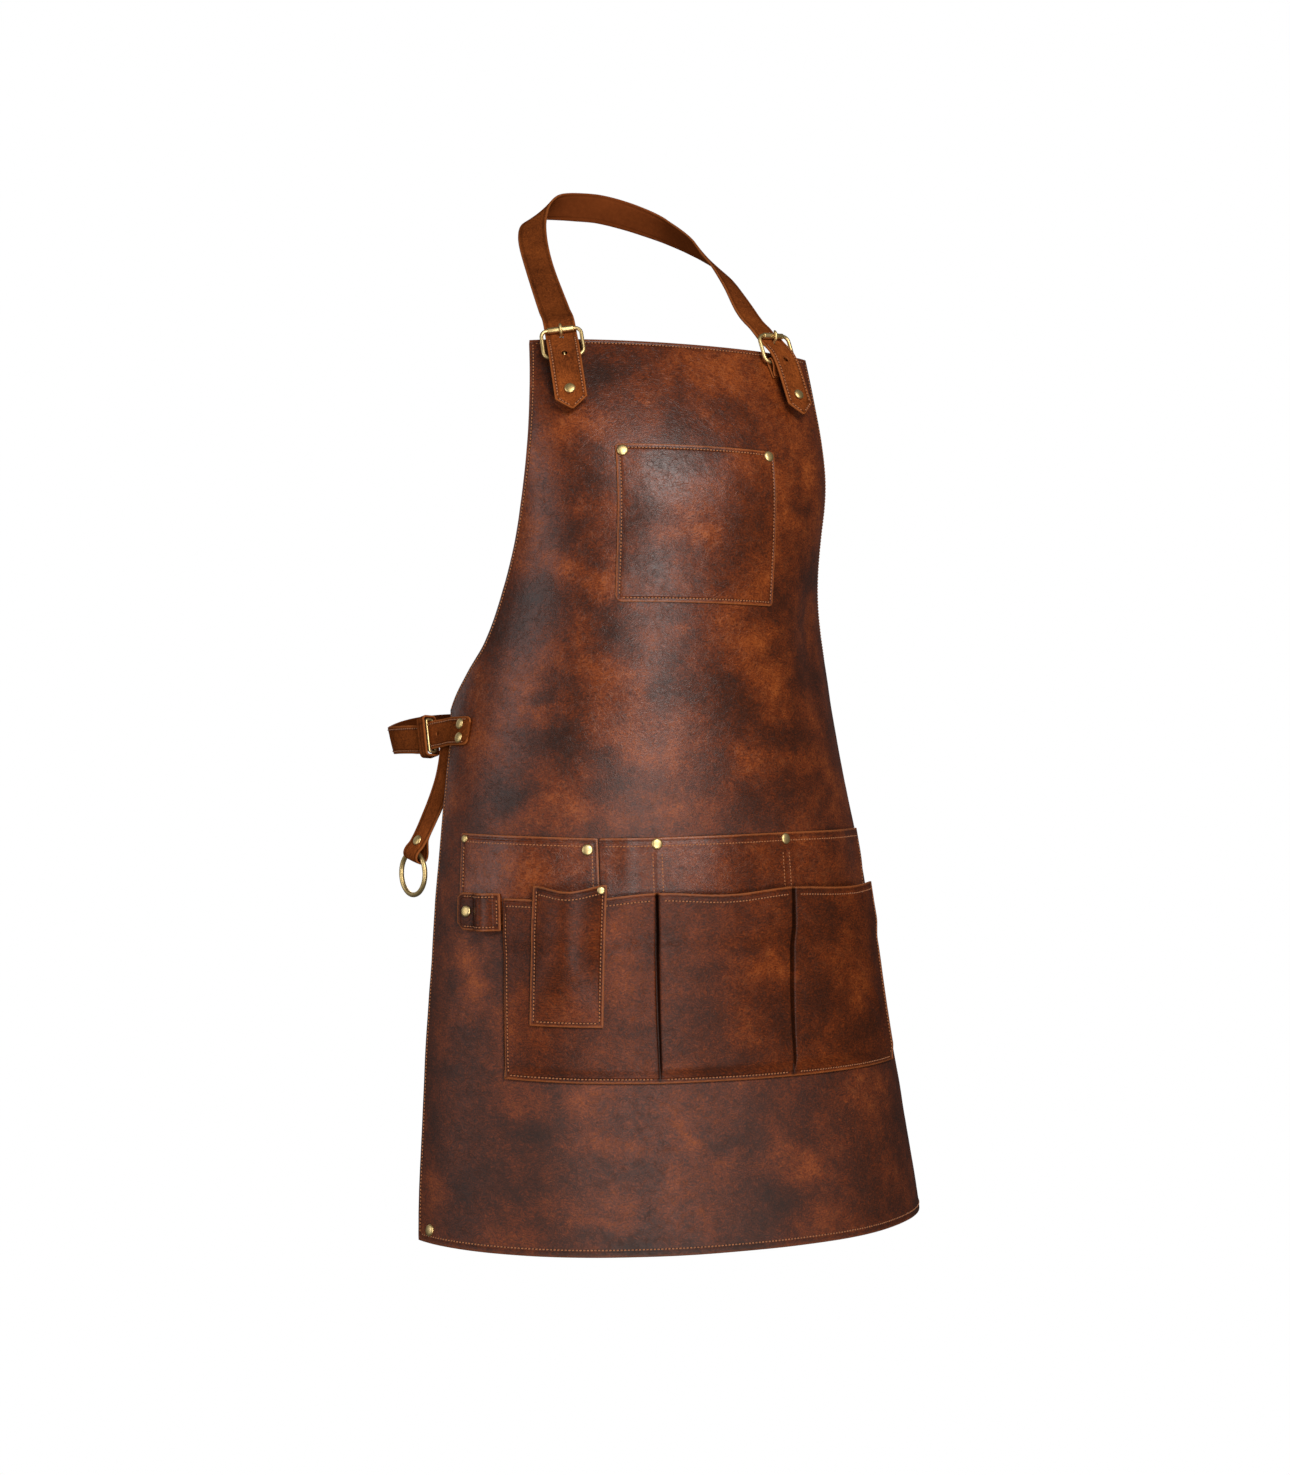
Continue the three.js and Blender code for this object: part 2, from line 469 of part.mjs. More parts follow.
// the right half hangs lower and turns over sooner: place and outer face along it
const NECK_RIGHT = [
  // part,   x,    y,     z,    face x, y, z
  [0.060, 92.8, 66.0, 25.5, 0.08, -0.59, 0.81],
  [0.142, 89.7, 90.0, 43.3, 0.22, -0.61, 0.76],
  [0.270, 89.1, 125.0, 74.1, 0.40, -0.58, 0.71],
  [0.402, 89.2, 163.0, 103.3, 0.49, -0.50, 0.71],
  [0.494, 87.6, 191.0, 121.4, 0.57, -0.41, 0.71],
  [0.590, 84.1, 220.0, 140.7, 0.76, -0.25, 0.60],
  [0.686, 78.7, 250.0, 157.8, 0.83, -0.06, 0.55],
  [0.786, 68.0, 280.0, 175.3, 0.80, 0.28, 0.52],
  [0.859, 49.2, 295.0, 186.9, 0.54, 0.66, 0.50],
  [0.937, 22.8, 301.5, 195.2, 0.20, 0.87, 0.42],
  [1.000, 0.0, 302.0, 198.4, 0.00, 0.95, 0.30],
];
const right = [1, 2, 3, 4, 5, 6].map(k => monotone(NECK_RIGHT, k));
const faceX = monotone(NECK_FACE, 1), faceY = monotone(NECK_FACE, 2), faceZ = monotone(NECK_FACE, 3);
// strap through the buckle: along the tail (q up from the roller) and off the bib's face (h)
const THROUGH = [
  // q,    h,   width share
  [-87.8, 7.0, 0.08],
  [-82.0, 7.3, 0.56],
  [-76.3, 7.7, 1],
  [-68.0, 8.6, 1],
  [-58.0, 9.9, 1],
  [-48.0, 11.2, 1],
  [-38.0, 12.2, 1],
  [-29.0, 12.4, 1],
  [-21.0, 11.4, 1],
  [-14.0, 9.2, 1],
  [-8.0, 6.6, 1],
  [-2.5, 4.4, 1],
];
const OVER = { left: [[3.0, 3.2, 1], [9.0, 2.2, 1]], right: [[2.2, 2.7, 1], [5.6, -0.8, 1]] };   // on over the bib's top edge
const HEEL = { q: -27.5, h: 5.0 }, TOP = { q: 0, h: 9.0 }, FRAME_R = 1.8, ROLLER_R = 2.8, BUCKLE_W = 37.6;
const PRONG_SLOT = [-9.4, -3.9, 1.75];          // slot the prong comes through: q from, q to, half width
const SPARE_HOLE = [-29.5, 3.0];                // empty hole below it: q, radius
const TAIL_RIVET = -67.8;

function halfStrap({ s, u, turn, lift }) {
  const b = frameAt(s * u, -0.6, 0), w = turn * Math.PI / 180, list = [];
  const across = b.across.clone().multiplyScalar(Math.cos(w)).addScaledVector(b.up, Math.sin(w));
  const up = b.up.clone().multiplyScalar(Math.cos(w)).addScaledVector(b.across, -Math.sin(w));
  const B = { P: b.P.clone().addScaledVector(b.up, -30).addScaledVector(up, 30 + lift), across, up, out: b.out };
  for (const [q, h, w] of [...THROUGH, ...(s < 0 ? OVER.left : OVER.right)]) list.push({ P: at(B, 0, q, h), w });
  const N = 26;
  for (let i = 0; i <= N; i++) {
    const g = s < 0 ? 0.10 + 0.90 * i / N : 0.06 + 0.94 * i / N;
    const P = s < 0 ? neckPoint(Math.PI / 2 * g ** 1.15, s) : new THREE.Vector3(right[0](g), right[1](g) - ORIGIN_Y, right[2](g) - ORIGIN_Z);
    list.push({ P, w: 1, g });
  }
  return { B, list };
}
const L = halfStrap(TAILS.left), R = halfStrap(TAILS.right);
function stations(side, s) {
  const list = side.list, n = list.length;
  return list.map((k, i) => {
    const t = list[Math.min(i + 1, n - 1)].P.clone().sub(list[Math.max(i - 1, 0)].P).normalize();
    let ref = side.B.out.clone();
    if (k.g !== undefined) {
      const f = k.g, m = s < 0 ? smooth(0.05, 0.35, f) : smooth(0.02, 0.2, f);
      const face = s < 0 ? [-faceX(f), faceY(f), faceZ(f)] : [right[3](f), right[4](f), right[5](f)];
      ref.multiplyScalar(1 - m).add(new THREE.Vector3(...face).multiplyScalar(m));
    }
    if (k.g !== undefined && i === n - 1) t.set(-s, 0, 0);
    const out = ref.addScaledVector(t, -ref.dot(t)).normalize();
    return { P: k.P, across: new THREE.Vector3().crossVectors(t, out).normalize(), out, w: STRAP_W * k.w, t: STRAP_T };
  });
}
{
  const a = stations(L, -1), b = stations(R, 1).reverse().slice(1);
  for (const s of b) s.across.negate();
  const tools = [];
  for (const side of [L, R]) {
    const [q, r] = SPARE_HOLE;
    tools.push(block(side.B, -PRONG_SLOT[2], PRONG_SLOT[2], PRONG_SLOT[0], PRONG_SLOT[1], 0.4, 14));
    const k = THROUGH.findIndex(row => row[0] > q), p = THROUGH[k - 1], n = THROUGH[k];
    const h = p[1] + (n[1] - p[1]) * (q - p[0]) / (n[0] - p[0]);
    const P = at(side.B, 0, q, h);
    tools.push(turned({ ...side.B, P }, [[0, -6], [r, -6], [r, 6], [0, 6]], 10));
  }
  add('neck_strap', cut(strap([...a, ...b]), tools), 'strap');
}
for (const [label, side] of [['left', L], ['right', R]]) {
  const B = side.B;
  const hq = (TOP.q - HEEL.q) / 2, cq = (TOP.q + HEEL.q) / 2, ch = (TOP.h + HEEL.h) / 2, tilt = (TOP.h - HEEL.h) / 2 / hq;
  const place = (p, q) => at(B, p, cq + q, ch + tilt * q);
  add('buckle_frame_' + label, bar(roundedLoop(BUCKLE_W / 2, hq, 6, 3, place), FRAME_R, 8, true), 'brass');
  // roller on the top bar
  const half = BUCKLE_W / 2 - 6.5;
  const T = { P: at(B, 0, TOP.q, TOP.h), across: B.up, up: B.out, out: B.across };
  const rollers = cut(turned(T, [[0, -half], [ROLLER_R, -half], [ROLLER_R, half], [0, half]], 14),
    [turned(T, [[0, -half - 1], [FRAME_R + 0.35, -half - 1], [FRAME_R + 0.35, half + 1], [0, half + 1]], 10)]);
  add('buckle_roller_' + label, rollers, 'brass');
  // prong: hooked round the heel bar, through the strap, resting on the roller
  const pr = 1.4, eye = FRAME_R + 0.3 + pr;
  const track = [];
  for (let i = 0; i <= 6; i++) {
    const a = (300 - 210 * i / 6) * Math.PI / 180;          // round the underside of the heel bar
    track.push([HEEL.q + eye * Math.cos(a), HEEL.h + eye * Math.sin(a)]);
  }
  track.push([-20, 7.2], [-14, 5.0], [-10.6, 3.9], [-8.6, 4.0], [-7, 5.6], [-5.7, 8.2], [-5, 10.6], [-3.2, 12.9], [-0.6, 13.9], [3, 13.6]);
  add('buckle_prong_' + label, bar(track.map(([q, h]) => at(B, 0, q, h)), f => pr * (f > 0.95 ? 0.7 : 1), 8, false), 'brass');
  // leather tab folded round the heel bar and lying on the bib, slotted for the prong
  const tabT = 1.9, rr = FRAME_R + 0.5 + tabT / 2, fold = [];
  fold.push([-43.5, 1.5], [-40, 1.5], [-35.5, 1.6]);
  for (let i = 0; i <= 8; i++) {
    const a = (-90 + 180 * i / 8) * Math.PI / 180;
    fold.push([HEEL.q + rr * Math.cos(a), HEEL.h + 0.15 + rr * Math.sin(a)]);
  }
  fold.push([-33.4, 7.5], [-37, 5.5], [-40, 4.3], [-43, 4.0]);
  const st = fold.map(([q, h], i) => {
    const a = fold[Math.max(i - 1, 0)], b = fold[Math.min(i + 1, fold.length - 1)];
    const l = Math.hypot(b[0] - a[0], b[1] - a[1]);
    const out = B.up.clone().multiplyScalar(-(b[1] - a[1]) / l).addScaledVector(B.out, (b[0] - a[0]) / l);
    return { P: at(B, 0, q, h), across: B.across, out, w: 29, t: tabT };
  });
  add('buckle_tab_' + label, cut(strap(st), [block(B, -2.6, 2.6, -34, -13.5, -1, 11)]), 'strap');
  rivet('rivet_tail_' + label, { ...B, P: at(B, 0, TAIL_RIVET, 8.63 + STRAP_T / 2 + 1.0) });
}

// ---------------------------------------------------------------- waist strap
const WAIST = { z: -367, dip: -374, back: -356, a: 232, bow: 2.4, b: 150, y: 235 };
const waistPath = [];
const flat = (x, y, z) => new THREE.Vector3(x, y - ORIGIN_Y, z - ORIGIN_Z);
const WAIST_LIFT = GAP + WAIST_T / 2 + 0.5, WAIST_U = [231, 240, 249, 258, 266];   // left end laid on the panel
const WAIST_IN = -PANEL_T - 1.0 - WAIST_T / 2;                                       // right end laid behind it
for (const u of WAIST_U) waistPath.push(onForm(-u, WAIST.z, WAIST_LIFT));
waistPath.push(flat(-204.2, 154, -368.5), flat(-210.5, 168, -370));
for (let i = 0; i <= 36; i++) {
  const a = (160 + 40 - 220 * i / 36) * Math.PI / 180;     // from the left flank round the back
  const k = Math.sin(Math.min(Math.max(a, 0), Math.PI));
  const wide = WAIST.a + WAIST.bow * smooth(0, 3, Math.min(i, 36 - i));
  waistPath.push(flat(wide * Math.cos(a), WAIST.y + WAIST.b * Math.sin(a), WAIST.dip + (WAIST.back - WAIST.dip) * smooth(0.1, 0.9, k)));
}
waistPath.push(flat(203.5, 168, -370), flat(193.8, 152.5, -368.5));
for (const u of [...WAIST_U].reverse()) waistPath.push(onForm(u, WAIST.z, WAIST_IN));
const waistFrame = i => {
  const n = waistPath.length, t = waistPath[Math.min(i + 1, n - 1)].clone().sub(waistPath[Math.max(i - 1, 0)]).normalize();
  const k = Math.min(i, n - 1 - i);
  const lean = frameAt((i < n / 2 ? -1 : 1) * WAIST_U[Math.min(k, 4)], WAIST.z, 0).up;
  const up = new THREE.Vector3(0, 0, 1).lerp(lean, k < 5 ? 1 : Math.max(1 - (k - 4) / 4, 0));
  up.x += (i < n / 2 ? -1 : 1) * 0.24 * smooth(6, 9, k) * smooth(22, 13, k);     // the flank turns lean outwards
  up.addScaledVector(t, -up.dot(t)).normalize();
  return { P: waistPath[i].clone(), across: t, up, out: new THREE.Vector3().crossVectors(up, t).normalize() };
};
// a place part way between two points of the strap
const waistAt = f => {
  const i = Math.floor(f), a = waistFrame(i), b = waistFrame(i + 1), m = f - i;
  const t = b.P.clone().sub(a.P).normalize(), up = a.up.clone().lerp(b.up, m);
  up.addScaledVector(t, -up.dot(t)).normalize();
  return { P: a.P.clone().lerp(b.P, m), across: t, up, out: new THREE.Vector3().crossVectors(up, t).normalize() };
};
{
  const st = waistPath.map((P, i) => {
    const F = waistFrame(i);
    const ends = Math.min(i, waistPath.length - 1 - i);
    return { P, across: F.up, out: F.out, w: WAIST_W * (ends === 0 ? 0.86 : 1), t: WAIST_T };
  });
  const H = waistAt(5.43);
  const hole = turned(H, [[0, -6], [1.6, -6], [1.6, 6], [0, 6]], 10);
  add('waist_strap', cut(strap(st), [hole]), 'strap');
  const out = WAIST_LIFT + WAIST_T / 2 + 0.5;
  for (const [label, u, d] of [['left', -244, out], ['right', 258, GAP + 0.2]]) {
    rivet('rivet_waist_upper_' + label, frameAt(u, WAIST.z + 6.6, d));
    rivet('rivet_waist_lower_' + label, frameAt(u, WAIST.z - 6.6, d));
  }
}
// keeper: leather band round the strap; slide: brass wire frame tucked in its mouth
const K = waistAt(6.4);
{
  const len = 11, w = 2.0;
  const loop = (hp, hq, r) => roundedLoop(hp, hq, r, 3, (p, q) => [p, q]);
  const o = loop(6.3 + w, 18.4 + w, 4.2), i = loop(6.3, 18.4, 2.4), P = [], F = [], n = o.length;
  for (const s of [-len / 2, len / 2]) for (const L2 of [o, i]) for (const [p, q] of L2)
    P.push(K.P.clone().addScaledVector(K.out, p).addScaledVector(K.up, q).addScaledVector(K.across, s));
  for (let k = 0; k < n; k++) {
    const k2 = (k + 1) % n, a = 0, b = n, c = 2 * n, d = 3 * n;
    F.push([a + k, a + k2, c + k], [a + k2, c + k2, c + k]);
    F.push([b + k, d + k, b + k2], [b + k2, d + k, d + k2]);
    F.push([a + k, b + k, a + k2], [a + k2, b + k, b + k2]);
    F.push([c + k, c + k2, d + k], [c + k2, d + k2, d + k]);
  }
  const g = solid(P, F);
  add('waist_keeper', volume(g) < 0 ? flip(g) : g, 'strap');
  const S = { ...K, P: K.P.clone().addScaledVector(K.across, -4.3) };
  add('waist_slide', bar(roundedLoop(3.6, 16.2, 1.6, 3, (p, q) =>
    S.P.clone().addScaledVector(S.out, p).addScaledVector(S.up, q)), 1.3, 8, true), 'brass');
}

// ---------------------------------------------------------------- ring on its hanger
// the hanger lies behind the waist strap and folds round the ring below
const HANG = { loopIn: 5.2, top: 28 };                              // wider at the top than at the loop
const G = waistFrame(6);
const away = G.across.clone().setZ(0).normalize();                 // along the strap, off the panel
const facing = G.out.clone().setZ(0).normalize();                  // off the body
const HANG_LINE = [
  // height, along the strap, off the body
  [-472, 13.4, 9.8], [-468, 11.6, 8.8], [-462, 9.0, 7.2], [-450, 3.9, 4.0], [-438, -1.2, 1.0], [-426, -6.0, -1.4],
  [-414, -10.4, -3.2], [-402, -13.8, -4.4], [-388, -17.0, -5.2], [-372, -19.4, -5.5], [-354, -20.5, -5.5],
];
const hangAlong = monotone(HANG_LINE, 1), hangOff = monotone(HANG_LINE, 2);
const hangPoint = z => G.P.clone().addScaledVector(G.up, (z - ORIGIN_Z - G.P.z) / G.up.z)
  .addScaledVector(away, hangAlong(z)).addScaledVector(facing, hangOff(z));
const hangZ = [-364, -370, -378, -390, -402, -414, -426, -438, -450, -463];
const H0 = hangPoint(-463), H1 = hangPoint(-467);
const down = H1.clone().sub(H0).normalize();
const axis = away.clone().negate().addScaledVector(down, -away.clone().negate().dot(down)).normalize();   // loop axis, in the hanger's plane
const face3 = new THREE.Vector3().crossVectors(down, axis).normalize();
if (face3.dot(facing) < 0) face3.negate();
const loopR = HANG.loopIn + HANG_T / 2;
const loopC = H0.clone().addScaledVector(down, 23.5).addScaledVector(face3, -loopR + 3.4);
{
  const line = hangZ.map(hangPoint), st = [];
  const pts = line.map(P => P);
  const local = (s, h) => loopC.clone().addScaledVector(down, s).addScaledVector(face3, h);
  pts.push(local(-14, 3.4), local(-8, loopR - 1.9), local(-4, loopR - 0.4));
  for (let i = 0; i <= 8; i++) { const a = (90 - 180 * i / 8) * Math.PI / 180; pts.push(local(loopR * Math.cos(a), loopR * Math.sin(a))); }
  pts.push(local(-5, -loopR + 0.9), local(-11, -2.6), local(-17, 0.2), local(-24, 0.9), local(-33, 0.8));
  for (let i = 0; i < pts.length; i++) {
    const t = pts[Math.min(i + 1, pts.length - 1)].clone().sub(pts[Math.max(i - 1, 0)]).normalize();
    const blend = smooth(0, 6, i);
    const across = away.clone().negate().multiplyScalar(1 - blend).addScaledVector(axis, blend);
    across.addScaledVector(t, -across.dot(t)).normalize();
    st.push({ P: pts[i], across, out: new THREE.Vector3().crossVectors(t, across).normalize(), w: HANG_W + (HANG.top - HANG_W) * smooth(11, 5, i) - 4 * smooth(21, 24, i), t: HANG_T });
  }
  add('ring_hanger', strap(st), 'strap');
  const off = face3.clone().addScaledVector(down, -0.113).normalize();
  rivet('rivet_hanger', { P: local(-13.2, 3.7 + HANG_T / 2 + 0.35), across: axis, up: new THREE.Vector3().crossVectors(off, axis), out: off });
  // ring: hangs plumb from the loop, in the plane of the loop axis
  const plumb = new THREE.Vector3(0, 0, -1); plumb.addScaledVector(axis, -plumb.dot(axis)).normalize();
  const sag = RING_R - Math.sqrt(RING_R ** 2 - (HANG_W / 2) ** 2);
  const C = loopC.clone().addScaledVector(plumb, RING_R - sag / 2), ring = [];
  for (let i = 0; i < 28; i++) {
    const a = 2 * Math.PI * i / 28;
    ring.push(C.clone().addScaledVector(axis, RING_R * Math.sin(a)).addScaledVector(plumb, -RING_R * Math.cos(a)));
  }
  add('hanging_ring', bar(ring, RING_WIRE, 8, true), 'brass');
}

export default group;
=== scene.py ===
import math

import bpy
import numpy as np
from mathutils import Matrix, Vector


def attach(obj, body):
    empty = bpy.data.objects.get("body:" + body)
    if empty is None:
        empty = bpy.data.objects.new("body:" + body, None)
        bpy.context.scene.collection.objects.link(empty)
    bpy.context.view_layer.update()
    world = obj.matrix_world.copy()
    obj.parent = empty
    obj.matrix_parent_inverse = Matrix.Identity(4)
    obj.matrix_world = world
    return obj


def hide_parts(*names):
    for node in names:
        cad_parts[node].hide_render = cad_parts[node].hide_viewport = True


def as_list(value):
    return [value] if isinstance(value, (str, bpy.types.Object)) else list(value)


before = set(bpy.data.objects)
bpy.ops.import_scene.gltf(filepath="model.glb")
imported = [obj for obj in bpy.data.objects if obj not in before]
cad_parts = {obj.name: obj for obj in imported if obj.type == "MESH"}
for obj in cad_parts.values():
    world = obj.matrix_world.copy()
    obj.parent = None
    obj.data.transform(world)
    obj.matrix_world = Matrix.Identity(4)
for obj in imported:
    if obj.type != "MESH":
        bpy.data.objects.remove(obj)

# ---------------------------------------------------------------- camera
_AZ, _YA, _PITCH = math.radians(-20.455), math.radians(-19.025), math.radians(-1.298)
_C = Vector((math.sin(_AZ) * 1905.842, -math.cos(_AZ) * 1905.842 - 300.8, -417.696 - 198.0)) / 1000
_F = Vector((-math.sin(_YA) * math.cos(_PITCH), math.cos(_YA) * math.cos(_PITCH), -math.sin(_PITCH)))
_R = Vector((math.cos(_YA), math.sin(_YA), 0))
_Up = _R.cross(_F)
cam = bpy.data.objects.new("camera", bpy.data.cameras.new("camera"))
bpy.context.scene.collection.objects.link(cam)
cam.data.sensor_fit = "AUTO"
cam.data.sensor_width = 36.0
cam.data.lens = 36.0 * 2056.541 / 1475.0
cam.data.clip_start, cam.data.clip_end = 0.05, 60.0
cam.matrix_world = Matrix(((_R.x, _Up.x, -_F.x, _C.x), (_R.y, _Up.y, -_F.y, _C.y),
                           (_R.z, _Up.z, -_F.z, _C.z), (0, 0, 0, 1)))
bpy.context.scene.camera = cam

# ---------------------------------------------------------------- smooth noise
def _cell(ix, iy, k):
    h = (ix.astype(np.int64) * 374761393 + iy.astype(np.int64) * 668265263 + k * 974634533) & 0xFFFFFFFF
    h = ((h ^ (h >> 13)) * 1274126177) & 0xFFFFFFFF
    return ((h ^ (h >> 16)) & 0xFFFF) / 32767.5 - 1.0


def noise2(x, y, seed=0):
    """Value noise from -1 to 1 on a unit lattice."""
    x, y = np.asarray(x, float), np.asarray(y, float)
    ix, iy = np.floor(x), np.floor(y)
    fx, fy = x - ix, y - iy
    fx, fy = fx ** 3 * (fx * (6 * fx - 15) + 10), fy ** 3 * (fy * (6 * fy - 15) + 10)
    a = _cell(ix, iy, seed) * (1 - fx) + _cell(ix + 1, iy, seed) * fx
    b = _cell(ix, iy + 1, seed) * (1 - fx) + _cell(ix + 1, iy + 1, seed) * fx
    return a * (1 - fy) + b * fy


def fbm(x, y, seed=0, octaves=3):
    return sum(noise2(np.asarray(x) * 2 ** k, np.asarray(y) * 2 ** k, seed + 17 * k) / 2 ** k
               for k in range(octaves))


# ---------------------------------------------------------------- the leather's shape, millimetres
# u runs along the leather from centre front, z down from the bib's top edge, d is the
# stand-off outwards.  Lengths are millimetres until a mesh is made.
PANEL_T, POCKET_T, STRAP_T = 2.2, 1.8, 2.6
STRAP_W, WAIST_W, WAIST_T, HANG_W, HANG_T, GAP = 30.0, 28.0, 2.4, 24.0, 2.0, 0.3
LENGTH, ORIGIN_Y, ORIGIN_Z = 830.0, 300.8, 198.0
FORM = [(0.00, 158.5, 57.4, 38.8), (0.20, 158.3, 102.3, -16.5), (0.40, 193.2, 163.2, -3.3),
        (0.62, 219.8, 142.6, -17.2), (1.00, 255.6, 174.9, -91.2)]
OUTLINE = [(0.000, 147.3), (0.100, 160.9), (0.200, 182.1), (0.280, 201.5), (0.340, 221.9),
           (0.375, 249.3), (0.397, 267.0), (0.417, 281.0)]
SIDE = [(0.417, 281.0), (0.437, 270.0), (0.70, 279.3), (1.0, 306.2)]
DENTS = [(150, -292, 26, 52, -3.0), (160, -256, 40, 46, -6.0), (150, -130, 40, 52, 2.6),
         (-118, -335, 60, 34, -2.2), (40, -400, 80, 36, 1.8),
         (-150, -770, 42, 90, 2.4), (10, -790, 46, 80, -2.4), (150, -770, 44, 90, 2.2)]


def monotone(rows, col):
    """Shape-preserving cubic through a table's column."""
    x = np.array([r[0] for r in rows], float)
    y = np.array([r[col] for r in rows], float)
    h, m = np.diff(x), np.zeros(len(x))
    dl = np.diff(y) / h
    for i in range(1, len(x) - 1):
        if dl[i - 1] * dl[i] > 0:
            w1, w2 = 2 * h[i] + h[i - 1], h[i] + 2 * h[i - 1]
            m[i] = (w1 + w2) / (w1 / dl[i - 1] + w2 / dl[i])

    def end(h0, h1, d0, d1):
        v = ((2 * h0 + h1) * d0 - h0 * d1) / (h0 + h1)
        if v * d0 <= 0:
            return 0.0
        return 3 * d0 if d0 * d1 < 0 and abs(v) > 3 * abs(d0) else v

    m[0], m[-1] = end(h[0], h[1], dl[0], dl[1]), end(h[-1], h[-2], dl[-1], dl[-2])

    def f(t):
        q = np.clip(np.asarray(t, float), x[0], x[-1])
        i = np.clip(np.searchsorted(x, q, "left") - 1, 0, len(x) - 2)
        s = (q - x[i]) / h[i]
        s2, s3 = s * s, s * s * s
        return ((2 * s3 - 3 * s2 + 1) * y[i] + (s3 - 2 * s2 + s) * h[i] * m[i]
                + (-2 * s3 + 3 * s2) * y[i + 1] + (s3 - s2) * h[i] * m[i + 1])
    return f


def linear(rows):
    x, y = np.array([r[0] for r in rows], float), np.array([r[1] for r in rows], float)
    return lambda t: np.interp(np.asarray(t, float), x, y)


def smooth(a, b, x):
    s = np.clip((np.asarray(x, float) - a) / (b - a), 0, 1)
    return s * s * (3 - 2 * s)


def hump(x, a, b):
    s = (np.asarray(x, float) - a) / (b - a)
    return np.where((s <= 0) | (s >= 1), 0.0, np.sin(np.pi * np.clip(s, 0, 1)) ** 2)


form_a, form_b, form_y = monotone(FORM, 1), monotone(FORM, 2), monotone(FORM, 3)
armhole, side_of = monotone(OUTLINE, 1), linear(SIDE)


def half_width(z):
    t = -np.asarray(z, float) / LENGTH
    return np.where(t <= 0.417, armhole(np.minimum(t, 0.417)), side_of(t))


def dent(u, z, uneven=1.0):
    """Dents and swells of the leather from long use, and its fine unevenness below the bib's top."""
    soft = sum(r[4] * np.exp(-((u - r[0]) / r[2]) ** 2 - ((z - r[1]) / r[3]) ** 2) for r in DENTS)
    fine = 0.55 * fbm(u / 74.0, z / 88.0, 3, 2) + 0.10 * fbm(u / 17.0, z / 21.0, 9, 2)
    return soft + uneven * smooth(-8, -95, z) * fine


# angle round the body form by height and arc length, tabled once
_Z = np.arange(-832.0, 2.0, 1.0)
_U = np.arange(-400.0, 401.0, 1.0)
_PHI = np.zeros((len(_Z), len(_U)))
for _i, _z in enumerate(_Z):
    _t = min(max(-_z / LENGTH, 0), 1)
    _a, _b = float(form_a(_t)), float(form_b(_t))
    _p = np.linspace(-np.pi, np.pi, 361)
    _g = np.hypot(_a * np.cos(_p), _b * np.sin(_p))
    _s = np.concatenate([[0], np.cumsum((_g[1:] + _g[:-1]) / 2 * np.diff(_p))])
    _PHI[_i] = np.interp(_U, _s - _s[180], _p)


def on_form(u, z, d, uneven=1.0):
    """Points of the leather in the part's frame, millimetres."""
    u, z, d = np.broadcast_arrays(np.asarray(u, float), np.asarray(z, float), np.asarray(d, float))
    fi = np.clip(z - _Z[0], 0, len(_Z) - 1.001)
    fj = np.clip(u - _U[0], 0, len(_U) - 1.001)
    i, j = fi.astype(int), fj.astype(int)
    x, y = fi - i, fj - j
    p = ((_PHI[i, j] * (1 - y) + _PHI[i, j + 1] * y) * (1 - x)
         + (_PHI[i + 1, j] * (1 - y) + _PHI[i + 1, j + 1] * y) * x)
    t = -z / LENGTH
    a, b, fy = form_a(t), form_b(t), form_y(t)
    nx, ny = b * np.sin(p), -a * np.cos(p)
    l = np.hypot(nx, ny)
    o = d + dent(u, z, uneven)
    return np.stack([a * np.sin(p) + o * nx / l, fy + b - b * np.cos(p) + o * ny / l - ORIGIN_Y,
                     z - ORIGIN_Z + 0 * u], -1)


def unit(v):
    v = np.asarray(v, float)
    return v / np.maximum(np.linalg.norm(v, axis=-1, keepdims=True), 1e-12)


class Frame:
    """A place on the leather: point, across, up, out."""

    def __init__(self, P, across, up, out):
        self.P, self.across, self.up, self.out = (np.asarray(v, float) for v in (P, across, up, out))

    def at(self, p, q, h):
        p, q, h = (np.asarray(v, float)[..., None] for v in np.broadcast_arrays(p, q, h))
        return self.P + p * self.across + q * self.up + h * self.out

    def moved(self, P):
        return Frame(P, self.across, self.up, self.out)


def frame_at(u, z, d, uneven=1.0):
    e = 0.5
    across = unit(on_form(u + e, z, d, uneven) - on_form(u - e, z, d, uneven))
    up = unit(on_form(u, min(z + e, 0), d, uneven) - on_form(u, z - e, d, uneven))
    out = unit(np.cross(across, up))
    return Frame(on_form(u, z, d, uneven), across, unit(np.cross(out, across)), out)


